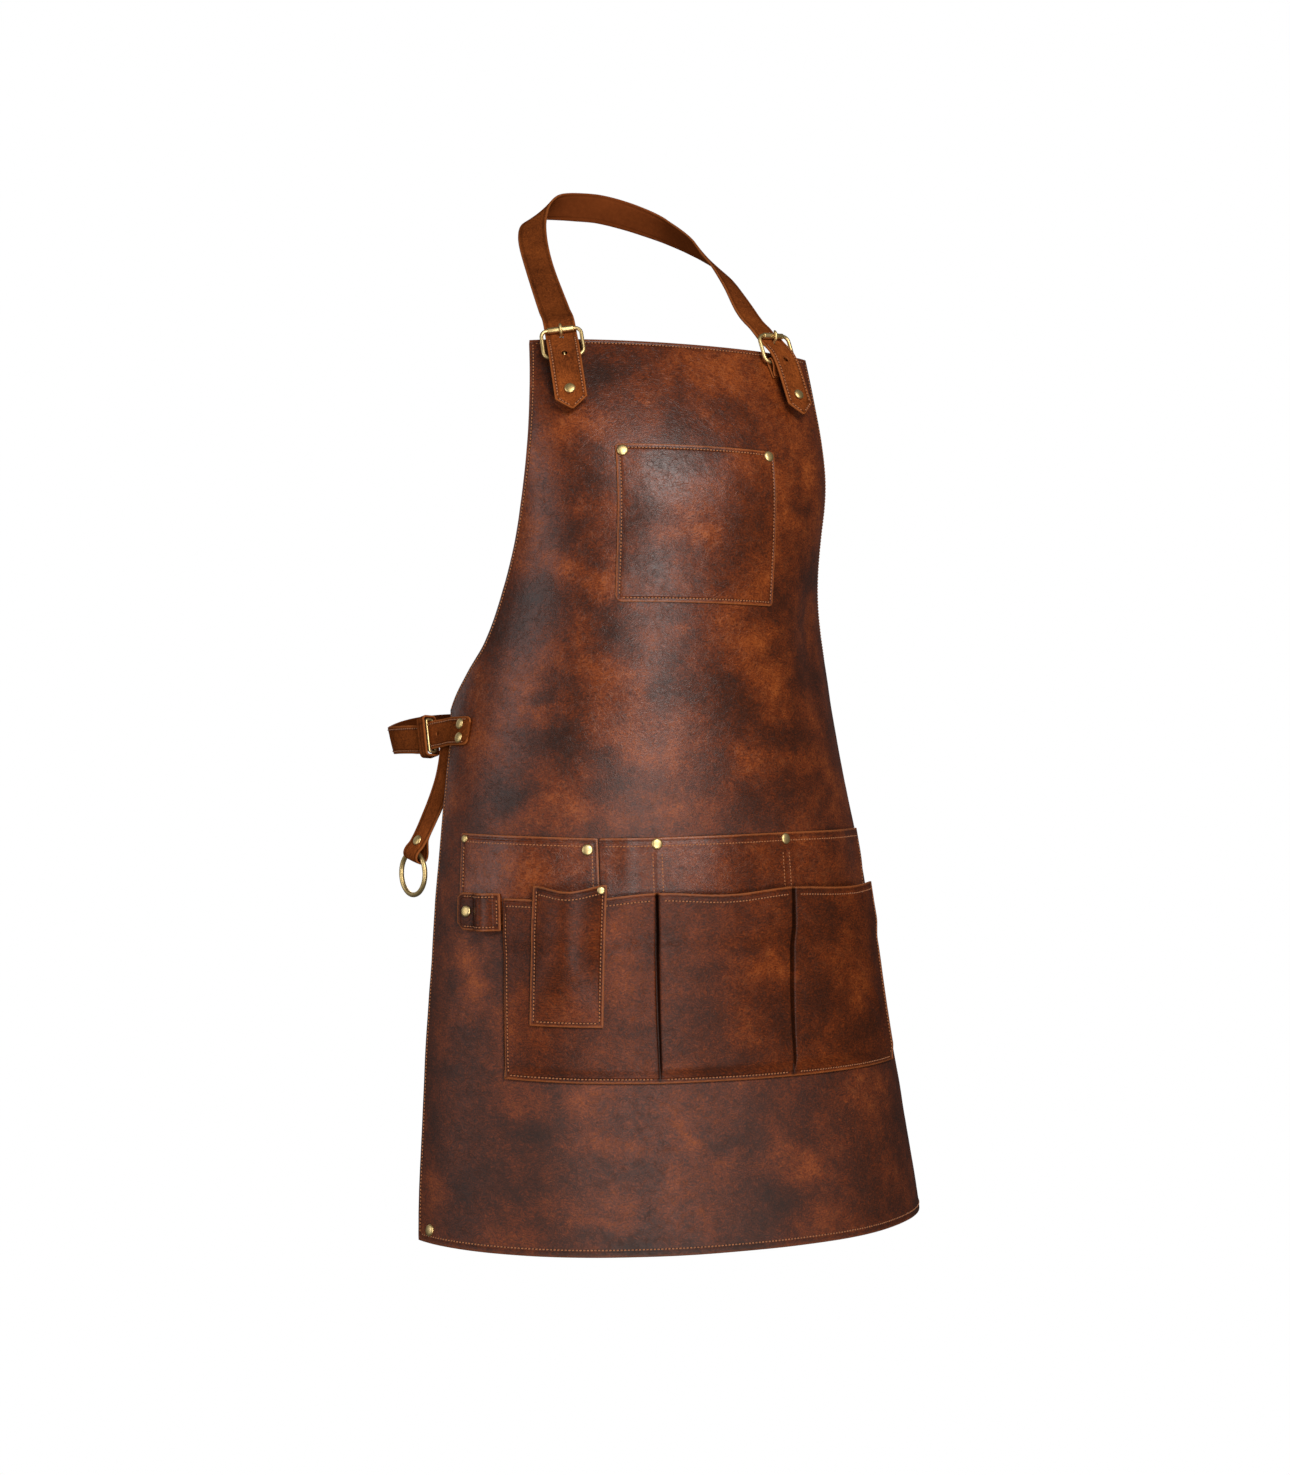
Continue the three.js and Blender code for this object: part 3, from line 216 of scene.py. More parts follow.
# ---------------------------------------------------------------- materials
class Graph:
    """Short way to lay out a shader's nodes."""

    def __init__(self, name):
        self.mat = bpy.data.materials.new(name)
        self.mat.use_nodes = True
        self.t = self.mat.node_tree
        self.t.nodes.clear()
        self.out = self.t.nodes.new("ShaderNodeOutputMaterial")
        self.bsdf = self.t.nodes.new("ShaderNodeBsdfPrincipled")
        self.t.links.new(self.bsdf.outputs[0], self.out.inputs[0])

    def put(self, socket, v):
        if isinstance(v, bpy.types.NodeSocket):
            self.t.links.new(v, socket)
        else:
            socket.default_value = v

    def attr(self, name, out):
        n = self.t.nodes.new("ShaderNodeAttribute")
        n.attribute_name = name
        return n.outputs[out]

    def math(self, op, a, b=0.0, c=None, clamp=False):
        n = self.t.nodes.new("ShaderNodeMath")
        n.operation, n.use_clamp = op, clamp
        for k, v in enumerate((a, b) if c is None else (a, b, c)):
            self.put(n.inputs[k], v)
        return n.outputs[0]

    def vec(self, op, a, b=(0, 0, 0), scale=None):
        n = self.t.nodes.new("ShaderNodeVectorMath")
        n.operation = op
        self.put(n.inputs[0], a)
        if scale is not None:
            self.put(n.inputs["Scale"], scale)
        else:
            self.put(n.inputs[1], b)
        return n.outputs[0]

    def noise(self, p, scale, detail=2.0, rough=0.5, out="Fac"):
        n = self.t.nodes.new("ShaderNodeTexNoise")
        self.put(n.inputs["Vector"], p)
        n.inputs["Scale"].default_value = scale
        n.inputs["Detail"].default_value = detail
        n.inputs["Roughness"].default_value = rough
        return n.outputs[out]

    def cells(self, p, scale, feature="DISTANCE_TO_EDGE", random=1.0):
        n = self.t.nodes.new("ShaderNodeTexVoronoi")
        n.feature = feature
        self.put(n.inputs["Vector"], p)
        n.inputs["Scale"].default_value = scale
        n.inputs["Randomness"].default_value = random
        return n.outputs["Distance"]

    def span(self, v, a, b, c=0.0, d=1.0, soft=True):
        n = self.t.nodes.new("ShaderNodeMapRange")
        n.interpolation_type = "SMOOTHSTEP" if soft else "LINEAR"
        self.put(n.inputs["Value"], v)
        for k, x in zip(("From Min", "From Max", "To Min", "To Max"), (a, b, c, d)):
            n.inputs[k].default_value = x
        return n.outputs[0]

    def ramp(self, v, stops):
        n = self.t.nodes.new("ShaderNodeValToRGB")
        self.put(n.inputs[0], v)
        e = n.color_ramp.elements
        while len(e) < len(stops):
            e.new(0.5)
        for el, (x, c) in zip(e, stops):
            el.position, el.color = x, (*c, 1)
        return n.outputs[0]

    def mix(self, f, a, b, mode="MIX"):
        n = self.t.nodes.new("ShaderNodeMix")
        n.data_type, n.blend_type = "RGBA", mode
        self.put(n.inputs[0], f)
        for k, v in ((6, a), (7, b)):
            self.put(n.inputs[k], v if isinstance(v, bpy.types.NodeSocket) else (*v, 1))
        return n.outputs[2]

    def bump(self, height, distance, strength=1.0, normal=None):
        n = self.t.nodes.new("ShaderNodeBump")
        n.inputs["Strength"].default_value = strength
        n.inputs["Distance"].default_value = distance
        self.put(n.inputs["Height"], height)
        if normal is not None:
            self.put(n.inputs["Normal"], normal)
        return n.outputs[0]

    def finish(self, **sockets):
        for k, v in sockets.items():
            self.put(self.bsdf.inputs[k.replace("_", " ").title().replace("Ior", "IOR")], v)
        return self.mat


DARK, DEEP, MID = (0.022, 0.0064, 0.0028), (0.054, 0.0115, 0.0032), (0.122, 0.0222, 0.0042)
TAN, BRIGHT, CUT = (0.240, 0.0510, 0.0085), (0.370, 0.0920, 0.0150), (0.340, 0.100, 0.0270)


def leather(name, bias, contrast, crackle, stops, bright=BRIGHT, cut=CUT, rough=(0.30, 0.50), sheen=0.0,
            back=((0.072, 0.030, 0.017), (0.150, 0.066, 0.036)), ior=1.42, wear_and_shade=0.0, relief=1.0, level=0.5):
    g = Graph(name)
    p = g.attr("flat", "Vector")
    edge, tone, inside = g.attr("edge", "Fac"), g.attr("tone", "Fac"), g.attr("inside", "Fac")
    big = g.noise(p, 15.0, 3.0, 0.55)
    mid = g.noise(p, 52.0, 6.0, 0.74)
    swirl = g.vec("SUBTRACT", g.noise(p, 46.0, 3.0, 0.6, "Color"), (0.5, 0.5, 0.5))
    bent = g.vec("ADD", p, g.vec("SCALE", swirl, scale=0.016))
    laid = g.vec("MULTIPLY", bent, (0.72, 1.25, 1.0))
    grain = g.noise(g.vec("MULTIPLY", bent, (1.0, 2.6, 1.0)), 330.0, 3.0, 0.65)
    v = g.math("MULTIPLY_ADD", big, 1.55 * contrast, bias - 0.775 * contrast)
    v = g.math("MULTIPLY_ADD", mid, 0.95 * contrast, g.math("ADD", v, -0.475 * contrast))
    v = g.math("MULTIPLY_ADD", tone, 0.30, v)
    if wear_and_shade:                                                     # painted shade: darker towards the hem; rougher there too, from wear, further down
        split = g.t.nodes.new("ShaderNodeSeparateXYZ")
        g.t.links.new(p, split.inputs[0])
        v = g.math("ADD", v, g.span(split.outputs[1], -0.62, -0.36, -0.08, 0.0))
    fleck = g.noise(g.vec("MULTIPLY", bent, (1.6, 1.0, 1.0)), 560.0, 2.0, 0.6)
    fine = g.math("MULTIPLY_ADD", grain, 1.05, g.math("ADD", v, -0.525))
    fine = g.math("MULTIPLY_ADD", fleck, 0.75, g.math("ADD", fine, -0.375))
    colour = g.ramp(fine, stops)
    # fine crackle: creases darkened with painted shade, pale where the wax has pulled away
    lines = g.span(g.cells(laid, 255.0), 0.0, 0.12, 1.0, 0.0)
    coarse = g.span(g.cells(g.vec("ADD", laid, (0.31, 0.17, 0.0)), 125.0), 0.0, 0.07, 1.0, 0.0)
    broken = g.span(g.noise(bent, 150.0, 3.0, 0.6), 0.40, 0.62)
    web = g.math("MULTIPLY", g.math("MAXIMUM", g.math("MULTIPLY", lines, 0.8), coarse), broken)
    # painted shade: the crackle's creases darkened towards DARK
    colour = g.mix(g.math("MULTIPLY", web, g.span(v, 0.25, 0.75, 0.55, 0.08)), colour, DARK)
    gate = g.span(v, 0.30, 0.82, 0.04, 1.0)
    colour = g.mix(g.math("MULTIPLY", g.math("MULTIPLY", web, gate), crackle), colour, bright)
    # scratches
    scr = g.noise(g.vec("MULTIPLY", bent, (1.0, 9.0, 1.0)), 60.0, 2.0, 0.5)
    scr = g.span(scr, 0.715, 0.76)
    colour = g.mix(g.math("MULTIPLY", scr, 0.35 * crackle), colour, bright)
    # stitch furrow darkened with painted shade, lighter rubbed rim, pale cut edge, plain flesh side
    furrow = g.math("MULTIPLY", g.span(edge, 1.9, 3.0), g.span(edge, 3.9, 5.4, 1.0, 0.0))
    # painted shade in the stitch furrow
    colour = g.mix(g.math("MULTIPLY", furrow, 0.30), colour, DARK)
    wobble = g.math("MULTIPLY_ADD", g.noise(p, 130.0, 2.0, 0.6), 1.8, -0.9)
    rub = g.span(g.math("ADD", edge, wobble), 0.6, 2.3, 1.0, 0.0)
    colour = g.mix(g.math("MULTIPLY", rub, 0.55), colour, cut)
    cutting = g.span(edge, -0.9, 0.2, 1.0, 0.0)
    colour = g.mix(g.math("MULTIPLY", cutting, 0.85), colour, g.mix(g.noise(p, 420.0, 3.0, 0.6), tuple(c * 0.62 for c in cut), cut))
    cloud = g.math("MULTIPLY_ADD", g.noise(p, 210.0, 4.0, 0.7), 0.8, g.math("MULTIPLY_ADD", big, 1.3, -0.55))
    flesh = g.mix(cloud, *back)
    colour = g.mix(inside, colour, flesh)
    r = g.math("MULTIPLY_ADD", g.noise(bent, 90.0, 3.0, 0.6), rough[1] - rough[0], rough[0])
    r = g.math("MULTIPLY_ADD", web, 0.10, r)
    if wear_and_shade:
        r = g.math("ADD", r, g.span(split.outputs[1], -0.56, -0.34, wear_and_shade, 0.0))
    r = g.math("MULTIPLY_ADD", inside, 0.35, r, clamp=True)
    # relief: pores, creases, soft wrinkles, the dip of the stitch row
    pores = g.cells(g.vec("MULTIPLY", bent, (1.0, 1.4, 1.0)), 780.0, "F1")
    h = g.math("MULTIPLY_ADD", pores, 0.35, g.math("MULTIPLY", grain, 0.65))
    h = g.math("MULTIPLY_ADD", web, -0.55, h)
    h = g.math("MULTIPLY_ADD", g.noise(bent, 150.0, 2.0, 0.5), 1.3, h)
    n = g.bump(h, 0.00030 * relief, 0.62)
    n = g.bump(g.math("MULTIPLY", furrow, -1.0), 0.00045, 0.8, n)
    return g.finish(base_color=colour, roughness=r, normal=n, ior=ior, specular_ior_level=level, sheen_weight=sheen, sheen_roughness=0.45)


STOPS = [(0.0, DARK), (0.30, DEEP), (0.56, MID), (0.86, TAN), (1.0, tuple(c * 1.18 for c in TAN))]
WARM = [(0.0, (0.046, 0.0130, 0.0048)), (0.32, (0.105, 0.0260, 0.0070)), (0.62, (0.205, 0.0490, 0.0110)),
        (1.0, (0.370, 0.0960, 0.0190))]
panel_leather = leather("panel_hide", 0.45, 0.70, 0.52, STOPS, cut=(0.170, 0.048, 0.0135), rough=(0.28, 0.44), wear_and_shade=0.24)
pocket_leather = leather("pocket_hide", 0.48, 0.60, 0.52, STOPS, rough=(0.28, 0.44))
row_leather = leather("row_hide", 0.40, 0.58, 0.52, STOPS, rough=(0.38, 0.54), ior=1.27)
strap_leather = leather("strap_hide", 0.54, 0.50, 0.28, WARM, rough=(0.58, 0.70), relief=0.3, level=0.0,
                        back=((0.100, 0.0225, 0.0055), (0.205, 0.0480, 0.0110)))


def thread_material():
    g = Graph("waxed_thread")
    p = g.attr("tint", "Fac")
    twist = g.t.nodes.new("ShaderNodeTexCoord").outputs["Object"]
    v = g.noise(twist, 900.0, 2.0, 0.6)
    c = g.mix(v, (0.270, 0.082, 0.020), (0.480, 0.160, 0.042))
    c = g.mix(g.math("MULTIPLY_ADD", p, 0.30, 0.08), c, (0.16, 0.050, 0.014))
    return g.finish(base_color=c, roughness=0.62, normal=g.bump(v, 0.00012, 0.6), sheen_weight=0.15)


def brass_material(name, tarnish_and_shade):
    g = Graph(name)
    p = g.t.nodes.new("ShaderNodeTexCoord").outputs["Object"]
    a = g.noise(p, 160.0, 4.0, 0.62)
    b = g.noise(p, 700.0, 3.0, 0.6)
    c = g.ramp(a, [(0.25, (0.60, 0.420, 0.165)), (0.5, (0.74, 0.540, 0.235)), (0.75, (0.86, 0.670, 0.340))])
    # tarnish patches; at a high share the same mix paints shade over the whole brass
    c = g.mix(g.math("MULTIPLY", g.span(b, 0.52, 0.74), tarnish_and_shade), c, (0.115, 0.070, 0.032))
    r = g.math("MULTIPLY_ADD", b, 0.14, 0.38)
    return g.finish(base_color=c, roughness=r, metallic=1.0, normal=g.bump(b, 0.00004, 0.4))


thread = thread_material()
brass = brass_material("antique_brass", 0.18)
# painted shade: the waist slide's brass made almost all dark, as if in the keeper's shadow
shaded_brass = brass_material("brass_painted_shade", 0.95)
# painted shade: near-black for the shade inside the awl holes
awl_hole_painted_shade = Graph("awl_hole_painted_shade").finish(base_color=(0.010, 0.0042, 0.0026, 1.0), roughness=0.85)


# ---------------------------------------------------------------- meshes
def make(name, verts, faces, material, attrs=None, vectors=None):
    """A smooth-shaded mesh from millimetre points."""
    me = bpy.data.meshes.new(name)
    me.from_pydata((np.asarray(verts, float) / 1000).tolist(), [], [list(map(int, f)) for f in faces])
    for key, values in (attrs or {}).items():
        me.attributes.new(key, "FLOAT", "POINT").data.foreach_set("value", np.asarray(values, np.float32).ravel())
    for key, values in (vectors or {}).items():
        me.attributes.new(key, "FLOAT_VECTOR", "POINT").data.foreach_set(
            "vector", np.asarray(values, np.float32).ravel())
    me.materials.append(material)
    me.shade_smooth()
    o = bpy.data.objects.new(name, me)
    bpy.context.scene.collection.objects.link(o)
    return o


def grid_faces(R, C, base, flip):
    i, j = np.meshgrid(np.arange(R - 1), np.arange(C - 1), indexing="ij")
    a = base + i * C + j
    q = np.stack([a, a + C, a + C + 1, a + 1], -1).reshape(-1, 4)
    return q[:, ::-1] if flip else q


def rim_loop(R, C):
    """The grid's boundary in order, and for each the vertex one step inside."""
    loop = ([(0, j) for j in range(C)] + [(i, C - 1) for i in range(1, R)]
            + [(R - 1, j) for j in range(C - 2, -1, -1)] + [(i, 0) for i in range(R - 2, 0, -1)])
    loop = np.array(loop)
    nb = np.stack([np.clip(loop[:, 0], 1, R - 2), np.clip(loop[:, 1], 1, C - 2)], -1)
    return loop, nb


def shell(outer, inner, r, edge, tone, flat, rings=4):
    """Closed leather from an outer and an inner grid, its cut edge rounded outwards by r.
    Returns points, faces and the attributes."""
    R, C = outer.shape[:2]
    n = R * C
    loop, nb = rim_loop(R, C)
    o, i = outer[loop[:, 0], loop[:, 1]], inner[loop[:, 0], loop[:, 1]]
    h, mid = (o - i) / 2, (o + i) / 2
    e = o - outer[nb[:, 0], nb[:, 1]]
    hn = unit(h)
    e = unit(e - (e * hn).sum(-1, keepdims=True) * hn)
    V, F = [outer.reshape(-1, 3), inner.reshape(-1, 3)], [grid_faces(R, C, 0, False), grid_faces(R, C, n, True)]
    E, T = [edge.ravel(), edge.ravel()], [tone.ravel(), tone.ravel()]
    S, X = [np.zeros(n), np.ones(n)], [flat.reshape(-1, 3), flat.reshape(-1, 3) + (0.37, 0.21, 0.0)]
    ids = [loop[:, 0] * C + loop[:, 1]]
    at = 2 * n
    m = len(loop)
    for k in range(1, rings + 1):
        a = math.pi / 2 - math.pi * k / (rings + 1)
        s, c = math.copysign(abs(math.sin(a)) ** 0.62, math.sin(a)), math.cos(a) ** 0.62
        V.append(mid + h * s + e * r * c)
        E.append(np.full(m, -1.0))
        T.append(tone[loop[:, 0], loop[:, 1]])
        S.append(np.full(m, 0.0))
        X.append(flat[loop[:, 0], loop[:, 1]] + np.array([0, 0, 0.0006 * k]))
        ids.append(np.arange(at, at + m))
        at += m
    ids.append(n + loop[:, 0] * C + loop[:, 1])
    for a, b in zip(ids[:-1], ids[1:]):
        F.append(np.stack([a, np.roll(a, -1), np.roll(b, -1), b], -1))
    return (np.concatenate(V), np.concatenate(F),
            {"edge": np.concatenate(E), "tone": np.concatenate(T), "inside": np.concatenate(S)},
            {"flat": np.concatenate(X)})


def round_corners(x, y, w0, w1, h0, h1, radii):
    """Pulls a rectangle's grid in at its corners.  radii: (left top, right top, right bottom, left bottom)."""
    x, y = x.copy(), y.copy()
    for (cx, sx, cy, sy), r in zip(((w0, 1, h1, -1), (w1, -1, h1, -1), (w1, -1, h0, 1), (w0, 1, h0, 1)), radii):
        if r <= 0:
            continue
        dx, dy = r - sx * (x - cx), r - sy * (y - cy)
        near = (dx > 0) & (dy > 0)
        k = np.where(near, np.maximum(dx, dy) / np.maximum(np.hypot(dx, dy), 1e-9), 1)
        x = np.where(near, cx + sx * (r - dx * k), x)
        y = np.where(near, cy + sy * (r - dy * k), y)
    return x, y


def rows_of(a, b, step):
    return np.linspace(a, b, max(int(round(abs(b - a) / step)), 2) + 1)


def flat_of(u, z, shift=0.0):
    return np.stack([u / 1000 + shift, z / 1000, np.zeros_like(u)], -1)


def normals_of(grid):
    du = np.gradient(grid, axis=1)
    dz = np.gradient(grid, axis=0)
    return unit(np.cross(dz, du))


def patches(u, z, rows):
    """Listed darker (below 0) and tanner (above 0) patches of the hide."""
    x = u + 11 * fbm(u / 34.0, z / 30.0, 41, 3)
    y = z + 9 * fbm(u / 31.0, z / 33.0, 43, 3)
    return sum(t * np.exp(-((x - a) / su) ** 2 - ((y - b) / sz) ** 2) for a, b, su, sz, t in rows)


# ---------------------------------------------------------------- stitches
class Thread:
    """Stitches gathered into one mesh: small laid capsules along rows."""

    SIDES, RINGS = 6, ((-1.0, 0.0), (-0.86, 0.62), (-0.4, 1.0), (0.4, 1.0), (0.86, 0.62), (1.0, 0.0))

    def __init__(self):
        self.P, self.T, self.N, self.tint = [], [], [], []

    def row(self, path, normal, pitch=3.25, skip=0.4, slant=0.10, lift=0.16):
        """A row of stitches along a path of points with its normals."""
        path, normal = np.asarray(path, float), np.asarray(normal, float)
        s = np.concatenate([[0], np.cumsum(np.linalg.norm(np.diff(path, axis=0), axis=1))])
        count = int((s[-1] - 2 * skip) / pitch)
        if count < 1:
            return
        t = s[-1] / 2 + (np.arange(count) - (count - 1) / 2) * pitch
        get = lambda a, x: np.stack([np.interp(x, s, a[:, k]) for k in range(3)], -1)
        p, n = get(path, t), unit(get(normal, t))
        d = unit(get(path, t + 0.6) - get(path, t - 0.6))
        side = np.cross(n, d)
        self.P.append(p + n * lift)
        self.T.append(unit(d + side * slant))
        self.N.append(n)

    def mesh(self, name, material, length=1.14, width=0.60, high=0.42):
        P, T, N = (np.concatenate(v) for v in (self.P, self.T, self.N))
        B = np.cross(N, T)
        k, n = self.SIDES, len(P)
        ring = [(0, 0.0)] + [(x, y) for x, y in self.RINGS[1:-1]]
        q = np.arange(k) * 2 * np.pi / k
        V = [P - T * length]
        for x, y in self.RINGS[1:-1]:
            for a in q:
                V.append(P + T * (length * x) + B * (width * y * math.cos(a)) + N * (high * y * math.sin(a)))
        V.append(P + T * length)
        m = len(V)
        V = np.stack(V, 1).reshape(-1, 3)
        F = []
        for a in range(k):
            b = (a + 1) % k
            F.append((0, 1 + a, 1 + b, 1 + b))
            for r in range(3):
                o = 1 + r * k
                F.append((o + a, o + k + a, o + k + b, o + b))
            o = 1 + 3 * k
            F.append((o + b, o + a, m - 1, m - 1))
        F = (np.array(F)[None] + (np.arange(n) * m)[:, None, None]).reshape(-1, 4)
        faces = [f[:3] if f[2] == f[3] else f for f in F.tolist()]
        tint = np.repeat(_cell(np.arange(n), np.arange(n) * 0 + 5, 2), m)
        return make(name, V, faces, material, {"tint": tint})

    def holes(self, name, material, step=1.62, along=0.50, across=0.66, sink=0.06):
        """The awl holes between the stitches: small lenses of painted shade let into the leather."""
        P, T, N = (np.concatenate(v) for v in (self.P, self.T, self.N))
        B, C = np.cross(N, T), P + T * step - N * sink
        q = np.arange(6) * np.pi / 3
        V = np.stack([C + N * 0.05] + [C + T * (along * math.cos(a)) + B * (across * math.sin(a)) for a in q] + [C - N * 0.45], 1)
        f = [(0, 1 + i, 1 + (i + 1) % 6) for i in range(6)] + [(7, 1 + (i + 1) % 6, 1 + i) for i in range(6)]
        F = (np.array(f)[None] + (np.arange(len(P)) * 8)[:, None, None]).reshape(-1, 3)
        return make(name, V.reshape(-1, 3), F.tolist(), material)


def along_row(grid, i, j0, j1, inset=0):
    """Path along grid row i (fractional) between columns j0 and j1."""
    a = int(min(max(math.floor(i), 0), grid.shape[0] - 2))
    f = i - a
    g = grid[a] * (1 - f) + grid[a + 1] * f
    n = normals_of(grid)[a]
    return g[j0:j1 + 1], n[j0:j1 + 1]


def along_col(grid, j, i0, i1):
    a = int(min(max(math.floor(j), 0), grid.shape[1] - 2))
    f = j - a
    g = grid[:, a] * (1 - f) + grid[:, a + 1] * f
    n = normals_of(grid)[:, a]
    return g[i0:i1 + 1], n[i0:i1 + 1]


# ---------------------------------------------------------------- straps
def catmull(points, t, x):
    """Smooth curve through points given at parameters t, read at x."""
    t, points = np.asarray(t, float), np.asarray(points, float)
    m = np.zeros_like(points)
    h = np.diff(t)[:, None]
    d = np.diff(points, axis=0) / h
    m[1:-1] = (d[:-1] * h[1:] + d[1:] * h[:-1]) / (h[1:] + h[:-1])
    m[0], m[-1] = d[0], d[-1]
    i = np.clip(np.searchsorted(t, x, "right") - 1, 0, len(t) - 2)
    s = ((x - t[i]) / (t[i + 1] - t[i]))[:, None]
    hh = (t[i + 1] - t[i])[:, None]
    return ((2 * s ** 3 - 3 * s ** 2 + 1) * points[i] + (s ** 3 - 2 * s ** 2 + s) * hh * m[i]
            + (-2 * s ** 3 + 3 * s ** 2) * points[i + 1] + (s ** 3 - s ** 2) * hh * m[i + 1])


def chord(points):
    return np.concatenate([[0], np.cumsum(np.linalg.norm(np.diff(points, axis=0), axis=1))])


class Sweep:
    """A strap: centre line, out direction, width and thickness at fine stations."""

    def __init__(self, P, ref, w, t, step=2.5, tangent_ends=None):
        P, ref, w = np.asarray(P, float), np.asarray(ref, float), np.asarray(w, float)
        s = chord(P)
        x = np.unique(np.concatenate([np.linspace(0, s[-1], int(s[-1] / step) + 1), s]))
        x = x[np.concatenate([[True], np.diff(x) > 0.25])]
        self.s = x
        self.P = catmull(P, s, x)
        r = np.stack([np.interp(x, s, ref[:, k]) for k in range(3)], -1)
        self.w = np.interp(x, s, w)
        self.t = t
        self.T = unit(np.gradient(self.P, x, axis=0))
        self.out = unit(r - (r * self.T).sum(-1, keepdims=True) * self.T)
        self.across = np.cross(self.T, self.out)

    def at(self, x, side, h):
        """Point at arc length x, side across (share of half width or mm), h off the centre plane."""
        get = lambda a: np.stack([np.interp(x, self.s, a[:, k]) for k in range(3)], -1)
        return get(self.P) + get(self.across) * np.asarray(side)[..., None] + get(self.out) * np.asarray(h)[..., None]

    def mesh(self, name, material, tone, across=11, corner=0.85, seed=0, crown=0.25):
        n = len(self.s)
        t = self.t
        prof = []                                     # (share across -1..1, mm in from edge, height share, edge mm flag)
        k = np.linspace(-1, 1, across)
        for x in k:
            prof.append((x, "o"))
        for a in (50, 0, -50):
            prof.append((1, a))
        for x in k[::-1]:
            prof.append((x, "i"))
        for a in (-50, 0, 50):
            prof.append((-1, a))
        m = len(prof)
        V = np.zeros((n, m, 3))
        E, S, X = np.zeros((n, m)), np.zeros((n, m)), np.zeros((n, m, 3))
        half = self.w / 2
        flat_half = np.maximum(half - corner, 0.05)
        for c, (x, kind) in enumerate(prof):
            if kind in ("o", "i"):
                side = flat_half * x
                sag = crown * (1 - x * x)
                h = (t / 2 + sag - crown) if kind == "o" else (-t / 2)
                hh = np.full(n, h)
                E[:, c] = half - np.abs(side)
                S[:, c] = 0 if kind == "o" else 1
            else:
                ang = math.radians(kind)
                side = x * (flat_half + np.minimum(corner, half * 0.5) * math.cos(ang))
                hh = np.full(n, (t / 2 - crown * 0.5) * math.sin(ang) * 1.05)
                E[:, c] = -1
                S[:, c] = 0.0
            V[:, c] = self.P + self.across * side[:, None] + self.out * hh[:, None]
            X[:, c] = np.stack([self.s / 1000, side / 1000 + 0.05 * (kind == "i"), np.full(n, seed * 0.31)], -1)
        i, j = np.meshgrid(np.arange(n - 1), np.arange(m), indexing="ij")
        a, b = i * m + j, i * m + (j + 1) % m
        F = np.stack([a, a + m, b + m, b], -1).reshape(-1, 4).tolist()
        F.append(list(range(m)))
        F.append(list(range((n - 1) * m, n * m))[::-1])
        T = np.repeat(np.asarray(tone(self.s) if callable(tone) else np.full(n, tone))[:, None], m, 1)
        o = make(name, V.reshape(-1, 3), F, material, {"edge": E, "tone": T, "inside": S}, {"flat": X})
        fix_normals(o)
        return o

    def edge_rows(self, thread, inset, s0=None, s1=None, face=1, pitch=3.25, sides=(-1, 1)):
        s0 = self.s[0] + 2 if s0 is None else s0
        s1 = self.s[-1] - 2 if s1 is None else s1
        x = np.linspace(s0, s1, max(int((s1 - s0) / 1.5), 3))
        w = np.interp(x, self.s, self.w)
        for sd in sides:
            p = self.at(x, sd * (w / 2 - inset), face * (self.t / 2 - 0.02))
            n = np.stack([np.interp(x, self.s, self.out[:, k]) for k in range(3)], -1) * face
            thread.row(p, n, pitch)


def fix_normals(o):
    """Faces outwards."""
    import bmesh
    bm = bmesh.new()
    bm.from_mesh(o.data)
    bmesh.ops.recalc_face_normals(bm, faces=bm.faces)
    bm.to_mesh(o.data)
    bm.free()
    o.data.update()


def punch(o, cutters):
    """Cuts holes through a piece."""
    for c in cutters:
        m = o.modifiers.new("hole", "BOOLEAN")
        m.operation, m.solver, m.object = "DIFFERENCE", "EXACT", c
        bpy.context.view_layer.update()
        dg = bpy.context.evaluated_depsgraph_get()
        me = bpy.data.meshes.new_from_object(o.evaluated_get(dg))
        o.modifiers.clear()
        old, o.data = o.data, me
        me.name = o.name
        bpy.data.meshes.remove(old)
        data = c.data
        bpy.data.objects.remove(c)
        bpy.data.meshes.remove(data)


def prism(F, outline, h0, h1, material):
    """Straight cutter in a frame from an outline of (p, q)."""
    n = len(outline)
    V = [F.at(p, q, h) for h in (h0, h1) for p, q in outline]
    faces = [list(range(n))[::-1], list(range(n, 2 * n))]
    faces += [[k, (k + 1) % n, n + (k + 1) % n, n + k] for k in range(n)]
    o = make("cutter", V, faces, material)
    fix_normals(o)
    return o


# ---------------------------------------------------------------- metal shapes
def lathe(F, profile, sides):
    """Points and faces of a turned shape on a frame; the profile starts and ends on the axis."""
    q = np.arange(sides) * 2 * np.pi / sides
    V = [F.at(0, 0, profile[0][1])[None]]
    for r, h in profile[1:-1]:
        V.append(F.at(r * np.cos(q), r * np.sin(q), np.full(sides, h)))
    V.append(F.at(0, 0, profile[-1][1])[None])
    faces, rows = [], len(profile) - 2
    for k in range(sides):
        l = (k + 1) % sides
        faces.append([0, 1 + l, 1 + k])
        for i in range(rows - 1):
            a, b = 1 + i * sides + k, 1 + i * sides + l
            faces.append([a, b, b + sides, a + sides])
        a = 1 + (rows - 1) * sides
        faces.append([a + k, a + l, 1 + rows * sides])
    return np.concatenate(V), faces


